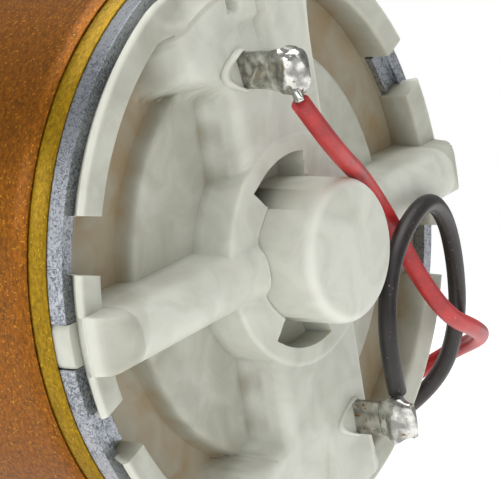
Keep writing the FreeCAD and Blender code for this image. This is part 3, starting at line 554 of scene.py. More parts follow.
@dataclass(frozen=True)
class SpangledZinc:
    """Zinc-plated deep-drawn steel: blue-grey, with dark worm-like spangles from the plating bath.

    Attributes:
        name: The material's name.
        light: Colour of the bright crystals.
        dark: Colour between them.
        spangle: Size of a spangle in millimetres.
    """

    name: str = "zinc_plated_can"
    light: str = "#B2B6BC"
    dark: str = "#6A6F77"
    spangle: float = 0.3

    def material(self) -> bpy.types.Material:
        """Builds the material: twisted spangles that change both colour and gloss.

        Returns:
            The material.
        """
        material, shader = new_material(self.name)
        tree = material.node_tree
        place = place_of(tree)
        twist = add(tree, "ShaderNodeTexNoise",
                    values={"Scale": per_mm(self.spangle), "Detail": 2.0, "Distortion": 2.2},
                    links={"Vector": place})
        broad = add(tree, "ShaderNodeTexNoise", values={"Scale": per_mm(7.0), "Detail": 2.0},
                    links={"Vector": place})
        both = add(tree, "ShaderNodeMath", {"operation": "MULTIPLY_ADD"}, {1: 0.6},
                   {0: broad.outputs["Fac"], 2: twist.outputs["Fac"]})
        colour = add(tree, "ShaderNodeValToRGB", links={"Fac": both.outputs[0]},
                     stops=((0.62, linear(self.dark)), (0.88, linear(self.light))))
        rough = add(tree, "ShaderNodeMapRange",
                    values={"From Min": 0.6, "From Max": 0.95, "To Min": 0.52, "To Max": 0.28},
                    links={"Value": both.outputs[0]})
        edge = add(tree, "ShaderNodeBevel", {"samples": 4}, {"Radius": 0.08 * MM})
        bump = add(tree, "ShaderNodeBump", values={"Strength": 0.5, "Distance": 0.02 * MM},
                   links={"Height": twist.outputs["Fac"], "Normal": edge.outputs["Normal"]})
        shader.inputs["Metallic"].default_value = 1.0
        plug(tree, shader, {"Base Color": colour.outputs["Color"], "Roughness": rough.outputs["Result"],
                            "Normal": bump.outputs["Normal"]})
        return material


@dataclass(frozen=True)
class TinAlloy:
    """Tin surfaces by hand soldering: bright where it froze quickly, frosty or flux-stained elsewhere.

    Attributes:
        name: The material's name.
        bright: Colour of the clean alloy.
        frost: Colour of the frosted places.
        flux: Colour of the dried flux.
        rough: Lowest and highest roughness.
        stained: Noise level above which flux shows.
    """

    name: str
    bright: str = "#D9D9D4"
    frost: str = "#8E8D88"
    flux: str = "#7A5A28"
    rough: tuple[float, float] = (0.12, 0.38)
    stained: float = 0.66

    def material(self) -> bpy.types.Material:
        """Builds the material: cooled-metal facets, frosty patches and specks of amber flux.

        Returns:
            The material.
        """
        material, shader = new_material(self.name)
        tree = material.node_tree
        place = place_of(tree)
        patch = add(tree, "ShaderNodeTexNoise", values={"Scale": per_mm(0.7), "Detail": 4.0},
                    links={"Vector": place})
        facets = add(tree, "ShaderNodeTexVoronoi", {"feature": "SMOOTH_F1"}, {"Scale": per_mm(0.55)},
                     {"Vector": place})
        specks = add(tree, "ShaderNodeTexNoise", values={"Scale": per_mm(0.3), "Detail": 3.0},
                     links={"Vector": place})
        metal = add(tree, "ShaderNodeValToRGB", links={"Fac": patch.outputs["Fac"]},
                    stops=((0.38, linear(self.frost)), (0.6, linear(self.bright))))
        flux = add(tree, "ShaderNodeMapRange",
                   values={"From Min": self.stained, "From Max": self.stained + 0.06},
                   links={"Value": specks.outputs["Fac"]})
        colour = add(tree, "ShaderNodeMix", {"data_type": "RGBA"}, {"B": linear(self.flux)},
                     {"Factor": flux.outputs["Result"], "A": metal.outputs["Color"]})
        rough = add(tree, "ShaderNodeMapRange", values={"From Min": 0.35, "From Max": 0.65,
                                                        "To Min": self.rough[1], "To Max": self.rough[0]},
                    links={"Value": patch.outputs["Fac"]})
        bump = add(tree, "ShaderNodeBump", values={"Strength": 0.5, "Distance": 0.12 * MM},
                   links={"Height": facets.outputs["Distance"]})
        shader.inputs["Metallic"].default_value = 1.0
        plug(tree, shader, {"Base Color": colour.outputs["Result"], "Roughness": rough.outputs["Result"],
                            "Normal": bump.outputs["Normal"]})
        return material


@dataclass(frozen=True)
class WireInsulation:
    """Extruded PVC insulation: soft gloss, faint draw lines along the wire and specks of dust.

    Attributes:
        name: The material's name.
        main: Its usual colour.
        shade: Colour where it is thinner or scuffed.
        dust: Colour of the dust.
    """

    name: str
    main: str
    shade: str
    dust: str

    def material(self) -> bpy.types.Material:
        """Builds the material: clouded colour, dust specks and an eggshell gloss.

        Returns:
            The material.
        """
        material, shader = new_material(self.name)
        tree = material.node_tree
        place = place_of(tree)
        clouds = add(tree, "ShaderNodeTexNoise", values={"Scale": per_mm(1.6), "Detail": 4.0},
                     links={"Vector": place})
        base = add(tree, "ShaderNodeValToRGB", links={"Fac": clouds.outputs["Fac"]},
                   stops=((0.35, linear(self.shade)), (0.62, linear(self.main))))
        specks = add(tree, "ShaderNodeTexNoise", values={"Scale": per_mm(0.16), "Detail": 2.0},
                     links={"Vector": place})
        dust = add(tree, "ShaderNodeMapRange", values={"From Min": 0.68, "From Max": 0.76, "To Max": 0.7},
                   links={"Value": specks.outputs["Fac"]})
        colour = add(tree, "ShaderNodeMix", {"data_type": "RGBA"}, {"B": linear(self.dust)},
                     {"Factor": dust.outputs["Result"], "A": base.outputs["Color"]})
        rough = add(tree, "ShaderNodeMapRange", values={"To Min": 0.3, "To Max": 0.5},
                    links={"Value": clouds.outputs["Fac"]})
        bump = add(tree, "ShaderNodeBump", values={"Strength": 0.3, "Distance": 0.015 * MM},
                   links={"Height": specks.outputs["Fac"]})
        shader.inputs["IOR"].default_value = 1.53
        plug(tree, shader, {"Base Color": colour.outputs["Result"], "Roughness": rough.outputs["Result"],
                            "Normal": bump.outputs["Normal"]})
        return material


@dataclass(frozen=True)
class Layered:
    """Metal laid up in lines: stacked laminations along X, or wound enamelled wire across it.

    Attributes:
        name: The material's name.
        crest: Colour on each sheet or turn.
        gap: Colour between them.
        pitch: Sheet thickness or wire diameter in millimetres.
        across: Whether the lines run across the motor's axis.
        relief: Depth of the gaps in millimetres.
    """

    name: str
    crest: str
    gap: str
    pitch: float
    across: bool
    relief: float

    def material(self) -> bpy.types.Material:
        """Builds the material: evenly spaced lines with a slight wander.

        Returns:
            The material.
        """
        material, shader = new_material(self.name)
        tree = material.node_tree
        lines = add(tree, "ShaderNodeTexWave", {"bands_direction": "X" if self.across else "DIAGONAL"},
                    {"Scale": per_mm(self.pitch) / 20, "Distortion": 0.4, "Detail": 2.0},
                    {"Vector": place_of(tree)})
        colour = add(tree, "ShaderNodeValToRGB", links={"Fac": lines.outputs["Fac"]},
                     stops=((0.1, linear(self.gap)), (0.55, linear(self.crest))))
        bump = add(tree, "ShaderNodeBump", values={"Strength": 0.8, "Distance": self.relief * MM},
                   links={"Height": lines.outputs["Fac"]})
        shader.inputs["Metallic"].default_value = 1.0
        shader.inputs["Roughness"].default_value = 0.34
        plug(tree, shader, {"Base Color": colour.outputs["Color"], "Normal": bump.outputs["Normal"]})
        return material


# Pressed sheet and die-cast zinc, plated: satin, a little cool, with soft handling marks.
GEARBOX_ZINC = Metal("gearbox_zinc", "#B9BBBB", "#8D9092", Making.PLATED, (0.3, 0.45), 0.2, 0.006, 0.12)
# Ground and hardened steel: fine rings round the shaft and a sharp bright highlight.
GROUND_STEEL = Metal("steel", "#D0D1D3", "#9B9EA2", Making.GROUND, (0.14, 0.26), 0.08, 0.002, 0.05)
# Sintered and oiled gear steel: grey, fine pores and an oily half gloss.
SINTERED_STEEL = Metal("gear_steel", "#8F9194", "#55575A", Making.SINTERED, (0.26, 0.4), 0.15, 0.006, 0.04)
# Turned free-cutting brass: warm yellow with turning rings.
TURNED_BRASS = Metal("brass", "#D8B566", "#A27D35", Making.TURNED, (0.18, 0.3), 0.08, 0.003, 0.04)
# Oil-filled sintered bronze: brown, porous and dull.
POROUS_BRONZE = Metal("bronze", "#A5794A", "#6B4A2A", Making.SINTERED, (0.36, 0.5), 0.12, 0.006, 0.04)
# Rolled copper: pink-orange with rolling lines and a light tarnish.
ROLLED_COPPER = Metal("copper", "#C98158", "#8E4E30", Making.DRAWN, (0.2, 0.36), 0.1, 0.003, 0.03)
# Sintered ferrite: near black, matt and slightly speckled.
FERRITE = Moulded("ferrite", "#2E2E31", "#18181A", 0.2, (0.55, 0.7), 0.01, 2.0)
# Pressed carbon: black with a grey bloom where it has rubbed.
CARBON = Moulded("carbon", "#2A2A2A", "#141414", 0.12, (0.4, 0.6), 0.008, 1.8)
# Vulcanised fibre: brick red and fibrous.
FIBRE = Moulded("insulator", "#7C3524", "#4F1F16", 0.25, (0.5, 0.65), 0.012)
# Compression-moulded phenolic: dark brown with pale filler specks.
PHENOLIC = Moulded("phenolic", "#4A3020", "#2C1B12", 0.15, (0.4, 0.55), 0.01, 1.6)
# Natural nylon strip, rolled: milky white and smooth.
TIE_NYLON = Moulded("tie_plastic", "#E4E3D8", "#CFCDBE", 0.3, (0.35, 0.5), 0.006, 1.53)
# Natural nylon rotor spacer, moulded like the cap.
SPACER_NYLON = Moulded("nylon", "#DAD9CC", "#C3C1B2", 0.3, (0.4, 0.55), 0.006, 1.53)
# Outer turn of polyimide film over steel: orange-brown with gold sparks.
OUTER_FILM = AmberFilm("outer_amber_film", "#5E3600", "#A05E06", "#D0922A", 0.16, 0.6)
# Inner turn, a single layer over bright steel: olive gold.
INNER_FILM = AmberFilm("inner_amber_film", "#705600", "#A88408", "#D4B238", 0.16, 0.62)
# Tin-lead solder, frozen quickly: mirror bright with frosty dents and specks of flux.
SOLDER = TinAlloy("solder")
# Tinned brass strip: duller than solder, with brown flux where the iron touched it.
TINNED_TAB = TinAlloy("tinned_brass", "#BDBAB1", "#86847D", "#8A5C20", (0.28, 0.5), 0.6)
# Red PVC insulation: clear red with a soft gloss.
RED_PVC = WireInsulation("red_insulation", "#C02A2C", "#9C1B1E", "#D98078")
# Black PVC insulation: warm black with pale dust.
BLACK_PVC = WireInsulation("black_insulation", "#26211F", "#17110F", "#8C8782")
# Stacked silicon steel sheets: blue-grey lines across the axis.
LAMINATIONS = Layered("lamination", "#8D95A3", "#4A4F58", 0.5, True, 0.02)
# Wound enamelled copper: red-brown turns with dark gaps.
WINDINGS = Layered("magnet_wire", "#B4572A", "#5A2510", 0.35, False, 0.08)

CAD_FINISHES = {
    GEARBOX_ZINC: ("gearbox_housing", "gearbox_front_cover"),
    GROUND_STEEL: ("first_gear_pin", "second_gear_pin", "cover_screws", "motor_screws", "magnet_clips",
                   "output_shaft", "rotor_shaft"),
    SINTERED_STEEL: ("first_wheel", "first_small_gear", "second_wheel", "second_small_gear", "third_wheel",
                     "third_small_gear", "output_gear"),
    TURNED_BRASS: ("gear_pin_spacers", "motor_pinion"),
    POROUS_BRONZE: ("output_front_bush", "output_rear_bush", "front_bearing", "rear_bearing"),
    ROLLED_COPPER: ("commutator_bars", "upper_brush_arm", "lower_brush_arm"),
    FERRITE: ("upper_magnet", "lower_magnet"),
    CARBON: ("upper_brush", "lower_brush"),
    FIBRE: ("core_insulators",),
    PHENOLIC: ("commutator_hub",),
    SPACER_NYLON: ("rotor_spacer",),
    LAMINATIONS: ("rotor_core",),
    WINDINGS: ("rotor_windings",),
    SpangledZinc(): ("motor_can",),
    TINNED_TAB: ("upper_terminal", "lower_terminal"),
}


def dress_cad_nodes() -> None:
    """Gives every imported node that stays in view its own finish."""
    for finish, names in CAD_FINISHES.items():
        material = finish.material()
        for name in names:
            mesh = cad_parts[name].data
            mesh.materials.clear()
            mesh.materials.append(material)
            LOG.info("%s dressed in %s", name, finish.name)


# ---- film -------------------------------------------------------------------------------------
@dataclass(frozen=True)
class FilmWrap:
    """One turn of insulating film round the can, with a lapped end and a slightly uneven edge.

    Attributes:
        node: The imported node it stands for.
        inner: Inside radius.
        thickness: Thickness of the film.
        rear: Station of the edge near the cap.
        front: Station of the edge near the gearbox.
        lap: Angle of the lapped end in degrees.
        finish: Its finish.
    """

    node: str
    inner: float
    thickness: float
    rear: float
    front: float
    lap: float
    finish: AmberFilm

    def ripple(self, x: float, angle: float) -> float:
        """Gives how far the film stands off the can.

        Args:
            x: Station along the axis.
            angle: Angle round it.

        Returns:
            What to add to the film's radius there.
        """
        away = math.degrees(angle) - self.lap
        lapped = self.thickness * 0.12 * math.exp(-((away + 180) % 360 - 180) ** 2 / 18)
        return lapped + 0.008 * wrinkle((x, 6 * math.cos(angle), 6 * math.sin(angle)), 2.2)

    def build(self) -> bpy.types.Object:
        """Builds the wrap and dresses it.

        Returns:
            The film's object.
        """
        low, high = self.inner, self.inner + self.thickness - 0.03
        corner = self.thickness * 0.35
        outside = [(self.rear + (self.front - self.rear) * i / 24, high) for i in range(1, 24)]
        profile = [(self.rear, low), (self.rear, high - corner), (self.rear + corner, high), *outside,
                   (self.front - corner, high), (self.front, high - corner), (self.front, low)]
        points, faces = lathe(profile, 240, self.ripple)
        piece = make_piece(self.node + "_wrap", points, faces)
        piece.data.materials.append(self.finish.material())
        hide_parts(self.node)
        LOG.info("%s built", piece.name)
        return piece


# ---- end cap ----------------------------------------------------------------------------------
def eased(distance: np.ndarray, top: float, bottom: float, edge: float, draft: float) -> np.ndarray:
    """Gives the height of a raised area with a rounded top edge and a steep wall.

    Args:
        distance: Distance outside the area's outline, negative inside.
        top: Height inside.
        bottom: Height outside.
        edge: Radius of the top edge.
        draft: Width of the wall.

    Returns:
        The height at each distance.
    """
    bend = np.clip(distance + edge, 0.0, edge)
    height = top - (edge - np.sqrt(np.maximum(edge ** 2 - bend ** 2, 0.0)))
    fall = np.clip(distance / draft, 0.0, 1.0)
    return height + (bottom - (top - edge)) * fall


def joined(first: np.ndarray, second: np.ndarray, fillet: float) -> np.ndarray:
    """Gives the higher of two heights, filled in where they meet.

    Args:
        first: One height.
        second: The other height.
        fillet: How far apart the two may be where the filling starts.

    Returns:
        The joined height.
    """
    near = np.maximum(fillet - np.abs(first - second), 0.0)
    return np.maximum(first, second) + near ** 2 / (4 * fillet)


def bowl(u: np.ndarray, v: np.ndarray, centre: tuple[float, float], half: tuple[float, float],
         soft: float) -> np.ndarray:
    """Gives 1 inside a soft-edged rectangle, and 0 outside it.

    Args:
        u: Distances along the rib.
        v: Distances across it.
        centre: The rectangle's centre.
        half: Its half sizes.
        soft: Width of its edge.

    Returns:
        The share of the rectangle's depth at each place.
    """
    across = np.clip((half[0] - np.abs(u - centre[0])) / soft + 0.5, 0.0, 1.0)
    along = np.clip((half[1] - np.abs(v - centre[1])) / soft + 0.5, 0.0, 1.0)
    blend = across * along
    return blend * blend * (3 - 2 * blend)


@dataclass(frozen=True)
class EndCap:
    """The moulded nylon cap: rim, groove, dish, rib, terminal band, hub and bearing boss.

    Heights are behind the plane of the can's end. The mesh's rings follow the round features, and
    its spokes bend to follow the straight ones.

    Attributes:
        floor: Height of the groove's floor.
        underside: Height of the cap's inner face.
        rim_outer: Outside radius of the rim.
        rim_inner: Inside radius of the rim.
        rim_height: Height of the rim.
        spigot: Radius of the part inside the can.
        gap_offsets: Degrees from the rib to the gap in each quarter of the rim.
        gap_half: Half the width of a gap.
        gap_floor: Height of a gap's floor.
        rib_half: Half the width of the rib.
        rib_height: Height of the rib.
        band_half: Half the width of the terminal band.
        band_height: Height of the band and the hub.
        hub: Radius of the hub.
        disc: Radius of the raised disc.
        disc_height: Height of the disc.
        boss: Radius of the bearing boss.
        boss_height: Height of the boss.
        window: Outside radius of the brush windows.
        window_start: Angle from the rib at which a window begins, in degrees.
        window_open: Angle up to which it goes right through.
        window_end: Angle at which its shallow part ends.
        shallow: Height of the shallow part's floor.
        crown: How much the boss's face is crowned.
        bearing: Radius of the bearing's seat.
        bearing_top: Height of the seat's end.
        rest: Height at which the rim rests over the can's end.
        shoulder_start: Radius at which the band starts to widen at its +u side.
        shoulder_run: How far out it has widened fully.
        shoulder_wide: How much it widens there.
        shoulder_narrow: How much it widens at its other side.
        arch_at: Middle of the shallow arch in the upper half of the band.
        arch_half: The arch's half sizes.
        arch_depth: Its depth.
        pocket_at: Middle of the small pocket beyond it.
        pocket_half: The pocket's half sizes.
        pocket_depth: Its depth.
        rib_run: How far before the rim's edge the rib's round end starts.
        flash: Height of the moulding flash round the boss.
        tab_outer: Radius of the key tabs' outer face.
        tab_half: Half the width of a key tab.
        tab_depth: How far a key tab reaches into its slot.
        tab_edge: Size of its broken edges.
        tab_light_and_tone: How much painted shade and painted highlight it gets.
        finish: The nylon.
    """

    floor: float = -1.2
    underside: float = -2.8
    rim_outer: float = 17.5
    rim_inner: float = 15.7
    rim_height: float = 1.1
    spigot: float = 16.79
    gap_offsets: tuple[float, float, float, float] = (17.8, 24.2, 17.8, 18.5)
    gap_half: float = 1.55
    gap_floor: float = -0.8
    rib_half: float = 1.6
    rib_height: float = 3.4
    band_half: float = 3.9
    band_height: float = 2.65
    hub: float = 6.6
    disc: float = 12.0
    disc_height: float = 0.2
    boss: float = 4.1
    boss_height: float = 6.2
    window: float = 5.6
    window_start: float = 50.0
    window_open: float = 73.0
    window_end: float = 104.0
    shallow: float = 1.1
    crown: float = 0.12
    bearing: float = 3.08
    bearing_top: float = 4.98
    rest: float = 0.03
    shoulder_start: float = 10.6
    shoulder_run: float = 3.2
    shoulder_wide: float = 3.2
    shoulder_narrow: float = 0.55
    arch_at: tuple[float, float] = (0.7, 12.4)
    arch_half: tuple[float, float] = (1.2, 1.1)
    arch_depth: float = 0.5
    pocket_at: tuple[float, float] = (2.0, 14.9)
    pocket_half: tuple[float, float] = (0.5, 0.6)
    pocket_depth: float = 0.9
    rib_run: float = 2.5
    flash: float = 0.09
    tab_outer: float = 17.58
    tab_half: float = 1.2
    tab_depth: float = 1.53
    tab_edge: float = 0.12
    tab_light_and_tone: tuple[float, float] = (0.12, 0.1)
    finish: NaturalNylon = NaturalNylon()

    def rings(self) -> np.ndarray:
        """Places the mesh's rings, close together at the round walls.

        Returns:
            The rings' radii.
        """
        b, w, h, d, i, o = self.boss, self.window, self.hub, self.disc, self.rim_inner, self.rim_outer
        marks = [0.5, 1.0, 1.6, 2.2, 2.8, b - 0.9, b - 0.7, b - 0.55, b - 0.4, b - 0.27, b - 0.16, b - 0.08,
                 b - 0.03, b, b + 0.04, b + 0.1, b + 0.2, b + 0.32, b + 0.6, b + 0.95, w - 0.16, w - 0.04, w,
                 w + 0.06, w + 0.16, h - 0.6, h - 0.35, h - 0.2, h - 0.1, h - 0.04, h, h + 0.06, h + 0.14,
                 h + 0.25, h + 0.4, h + 0.7]
        marks += list(np.arange(h + 1.0, d - 0.6, 0.3))
        marks += [d - 0.5, d - 0.35, d - 0.2, d - 0.1, d, d + 0.08, d + 0.16, d + 0.25, d + 0.4]
        marks += list(np.arange(d + 0.6, i - 0.4, 0.26))
        marks += [i - 0.3, i - 0.15, i - 0.05, i, i + 0.05, i + 0.11, i + 0.2, i + 0.35, i + 0.6, i + 0.8,
                  o - 0.75, o - 0.55, o - 0.4, o - 0.28, o - 0.18, o - 0.1, o - 0.05, o - 0.015, o]
        return np.array(marks)

    def spokes(self, radius: float, gap: float) -> np.ndarray:
        """Places the spokes of one quarter at a radius.

        Args:
            radius: The ring's radius.
            gap: Degrees from the rib to the quarter's gap.

        Returns:
            Angles in degrees from the rib to the band's middle.
        """
        beyond = max(radius, self.hub)
        rib_steps = np.array([-1.6, -1.25, -0.95, -0.72, -0.52, -0.34, -0.2, -0.09, -0.02, 0.05, 0.16, 0.4])
        rib = np.degrees(np.arcsin((self.rib_half + rib_steps) / beyond))
        band_steps = np.array([1.4, 0.9, 0.55, 0.3, 0.14, 0.05, 0.0, -0.06, -0.14, -0.26, -0.42, -0.65, -1.0])
        straight = 90 - np.degrees(np.arcsin((self.band_half + band_steps) / beyond))
        if radius < self.hub:
            level = np.degrees(band_steps / max(radius, self.boss))
            curved = self.window_start - level
            share = min(1.0, (self.hub - radius) / (self.hub - self.window - 0.4))
            straight = straight * (1 - share) + curved * share
        gap_steps = np.array([0.16, 0.06, 0.0, -0.05, -0.14])
        reach = max(radius, 13.0)
        half = np.degrees(np.arcsin((self.gap_half + gap_steps) / reach))
        lines = np.concatenate((gap - half, (gap,), (gap + half)[::-1]))
        if radius < 13.0:
            low = math.degrees(math.asin((self.rib_half + rib_steps[-1]) / 13.0))
            high = 90 - math.degrees(math.asin((self.band_half + band_steps[0]) / 13.0))
            lines = rib[-1] + (lines - low) / (high - low) * (straight[0] - rib[-1])
        before = np.linspace(rib[-1], lines[0], 4)[1:-1]
        between = np.linspace(lines[-1], straight[0], 22)[1:-1]
        after = np.linspace(straight[-1], 90, 15)[1:]
        return np.concatenate((rib, before, lines, between, straight, after))

    def in_gap(self, radius: float, angle: float) -> bool:
        """Tells whether a point lies in one of the rim's gaps.

        Args:
            radius: The point's radius.
            angle: Its angle from the rib.

        Returns:
            Whether it does.
        """
        turned = math.degrees(angle) % 360
        folded = abs((turned + 90) % 180 - 90)
        across = abs(radius * math.sin(math.radians(folded - self.gap_offsets[int(turned // 90)])))
        return across < self.gap_half - 0.02 and folded < 45

    def in_window(self, radius: float, angle: float, end: Optional[float] = None) -> bool:
        """Tells whether a point lies in a brush window.

        Args:
            radius: The point's radius.
            angle: Its angle from the rib.
            end: Angle in degrees at which the window is taken to end, when not at its real end.

        Returns:
            Whether it does.
        """
        aside = abs((math.degrees(angle) + 180) % 360 - 180)
        inside = self.boss + 0.02 < radius < self.window - 0.02
        return inside and self.window_start + 0.3 < aside < (end or self.window_end)

    def height(self, u: np.ndarray, v: np.ndarray) -> np.ndarray:
        """Gives the height of the cap's outer face.

        Args:
            u: Distances along the rib.
            v: Distances across it.

        Returns:
            The heights behind the can's end.
        """
        radius = np.hypot(u, v)
        dish = eased(radius - self.disc, self.disc_height, self.floor, edge=0.5, draft=0.25)
        rim = eased(self.rim_inner - radius, self.rim_height, self.floor, edge=0.22, draft=0.05)
        rim = np.minimum(rim, eased(radius - self.rim_outer, self.rim_height, self.rest,
                                    edge=0.3, draft=0.05))
        base = joined(dish, rim, 0.35)
        # The band widens to a soft shoulder at its +u side and stays sharp at the other one.
        spread = np.clip((radius - self.shoulder_start) / self.shoulder_run, 0.0, 1.0)
        narrow = self.shoulder_narrow * np.clip((radius - 11.5) / 4.0, 0.0, 1.0) ** 2
        wide = self.shoulder_wide * spread * spread * (3 - 2 * spread)
        sharp = eased(-u - self.band_half - narrow, self.band_height, self.floor, edge=0.14, draft=0.3)
        soft = eased(u - self.band_half - wide, self.band_height - 0.5 * spread, self.floor,
                     edge=0.9, draft=0.9)
        band = np.where(u > 0, soft, sharp)
        band = np.minimum(band, eased(radius - self.rim_inner - 0.2, self.band_height, self.rim_height,
                                      edge=0.8, draft=0.7))
        # The rib is round along its top and at its ends, and runs out a little below the rim's face.
        rib = eased(np.abs(v) - self.rib_half, self.rib_height, self.floor, edge=1.5, draft=0.12)
        past = np.clip((radius - self.rim_outer + self.rib_run) / (self.rib_run - 0.1), 0.0, 1.0)
        step = self.rib_height - self.rim_height + 0.1
        rib = np.minimum(rib, self.rib_height - step + step * np.sqrt(1 - past ** 2))
        rib = np.minimum(rib, eased(radius - self.rim_outer, self.rib_height, self.rest,
                                    edge=0.3, draft=0.05))
        hub = eased(radius - self.hub, self.band_height, self.floor, edge=0.25, draft=0.3)
        body = joined(joined(base, band, 0.5), joined(hub, rib, 0.3), 0.5)
        arch = bowl(u, v, self.arch_at, self.arch_half, 0.45) * (u < 3)
        pocket = bowl(u, v, self.pocket_at, self.pocket_half, 0.2)
        body = body - self.arch_depth * arch - self.pocket_depth * pocket
        flash = self.flash * np.exp(-((radius - self.boss - 0.2) / 0.08) ** 2) * (u > -1.5)
        top = eased(radius - self.boss, self.boss_height, self.floor, edge=0.7, draft=0.04)
        top = top + self.crown * np.clip(1 - (radius / self.boss) ** 2, 0.0, 1.0)
        return np.maximum(body + flash, top)

    def painted_light_and_tone(self, u: float, v: float, height: float) -> tuple[float, float]:
        """Gives the painted shade, with the rim's cooler tone, and the painted edge highlight at a point.

        Args:
            u: Distance along the rib.
            v: Distance across it.
            height: Height of the surface there.

        Returns:
            The painted shade with the rim's tone, and the painted highlight, each about 0 to 1.
        """
        radius = math.hypot(u, v)
        # Painted shade, darker the lower the surface lies in the groove and the dish.
        deep = 0.2 * (height < 0.5) + 0.36 * min(1.0, max(0.0, (0.1 - height) / 1.3))
        # Darker stripes along the foot of the band's walls.
        if abs(abs(u) - self.band_half - 0.35) < 0.5 and height < 1.4:
            deep += 0.18 * (0.5 + 0.5 * math.sin(v * 2.6))
        # The rim's top is a cooler grey.
        if radius > self.rim_inner - 0.2 and height > 0.5:
            deep += 0.17
        # Painted shade round the brush windows.
        if radius < self.window + 0.3 and height < 2.3:
            deep += 0.22
        # Painted highlights along the rim's outer edge, the boss's edge and the band's sharp top edge.
        rim_edge = math.exp(-((radius - self.rim_outer + 0.12) / 0.14) ** 2)
        boss_edge = math.exp(-((radius - self.boss + 0.25) / 0.22) ** 2) * (height > 5)
        sharp = math.exp(-((u + self.band_half - 0.1) / 0.12) ** 2) * (height > 2.2)
        return deep, min(1.0, 0.6 * rim_edge + 0.55 * boss_edge + 0.5 * sharp)

    def corners(self) -> tuple[list[list[Point]], list[list[Point]]]:
        """Places every corner of the outer and the inner face.

        Returns:
            Rings of (radius, angle, height) for the outer face and for the inner one.
        """
        outer, inner = [], []
        for radius in self.rings():
            quarters = [np.radians(self.spokes(radius, gap)) for gap in self.gap_offsets]
            first, second, third, fourth = quarters
            angles = np.concatenate((first[:-1], (math.pi - second)[::-1][:-1], (math.pi + third)[:-1],
                                     (2 * math.pi - fourth)[::-1][:-1]))
            heights = self.height(radius * np.cos(angles), radius * np.sin(angles))
            over, under = [], []
            for angle, height in zip(angles, heights):
                reach = radius
                if self.in_window(radius, angle, self.window_open):
                    height = self.underside
                elif self.in_window(radius, angle):
                    height = self.shallow
                if radius > self.rim_inner - 0.02 and self.in_gap(radius, angle):
                    height, reach = self.gap_floor, min(radius, self.spigot)
                over.append((reach, angle, float(height)))
                low = self.bearing_top if radius < self.bearing else self.underside
                under.append((min(radius, self.spigot), angle, low))
            outer.append(over)
            inner.append(under)
        return outer, inner

    def key_tab(self, side: int, points: list[Point], corner_light_and_tone: list[tuple[float, float]],
                faces: list[list[int]]) -> None:
        """Adds the tab that fills one key slot of the can, flush with the can's outside.

        Args:
            side: 1 for the rib's end at +u, -1 for the other one.
            points: The cap's corners, which get the tab's.
            corner_light_and_tone: The painted shade and highlight values of those corners.
            faces: The cap's faces, which get the tab's.
        """
        start, soft, steps = len(points), self.tab_edge, 8
        root, face, foot = self.rim_inner - 0.3, self.tab_outer, -self.tab_depth
        section = ((root, self.rest), (face - soft, self.rest), (face, -soft), (face, foot + soft),
                   (face - soft, foot), (root, foot))
        for step in range(steps + 1):
            across = self.tab_half * (2 * step / steps - 1)
            drop = soft * (step in (0, steps))
            for radius, height in section:
                reach = math.sqrt(radius ** 2 - across ** 2) - drop * (radius > root)
                points.append(cap_point(side * reach, across, height))
                corner_light_and_tone.append(self.tab_light_and_tone)
        count = len(section)
        faces.extend(skin(steps + 1, count, start=start))
        faces.append([start + item for item in range(count)][::-1])
        faces.append([start + steps * count + item for item in range(count)])

    def build(self) -> bpy.types.Object:
        """Builds the cap as one closed skin and dresses it.

        Returns:
            The cap's object.
        """
        outer, inner = self.corners()
        count = len(outer[0])
        lip = [(self.spigot, angle, self.gap_floor if self.in_gap(self.rim_outer, angle) else self.rest)
               for _, angle, _ in outer[-1]]
        rows = outer + [lip] + inner[::-1]
        points, corner_light_and_tone = [], []
        for row in rows:
            for radius, angle, height in row:
                u, v = radius * math.cos(angle), radius * math.sin(angle)
                points.append(cap_point(u, v, height))
                corner_light_and_tone.append(self.painted_light_and_tone(u, v, height))
        faces = []
        for number, (row, following) in enumerate(zip(rows, rows[1:])):
            for item in range(count):
                after = (item + 1) % count
                corners = [row[item], row[after], following[after], following[item]]
                if all(self.in_window(radius, angle, self.window_open) for radius, angle, _ in corners):
                    continue
                faces.append([number * count + item, number * count + after,
                              (number + 1) * count + after, (number + 1) * count + item])
        top, bottom = len(points), len(points) + 1
        points += [cap_point(0, 0, outer[0][0][2]), cap_point(0, 0, self.bearing_top)]
        corner_light_and_tone += [self.painted_light_and_tone(0, 0, self.boss_height), (0.3, 0.0)]
        last = (len(rows) - 1) * count
        for item in range(count):
            after = (item + 1) % count
            faces.append([top, after, item])
            faces.append([bottom, last + item, last + after])
        for side in (1, -1):
            self.key_tab(side, points, corner_light_and_tone, faces)
        piece = make_piece("moulded_end_cap", points, faces)
        piece.data.set_sharp_from_angle(angle=math.radians(50))
        # Stores the painted shade with the rim's tone as depth, and the painted highlights as chalk.
        for name, part in (("depth", 0), ("painted_highlight", 1)):
            layer = piece.data.attributes.new(name, "FLOAT", "POINT")
            layer.data.foreach_set("value", [t[part] for t in corner_light_and_tone])
        weld = piece.modifiers.new("weld", "WELD")
        weld.merge_threshold = 0.002 * MM
        piece.data.materials.append(self.finish.material())
        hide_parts("end_cap")
        LOG.info("%s built with %d corners", piece.name, len(points))
        return piece


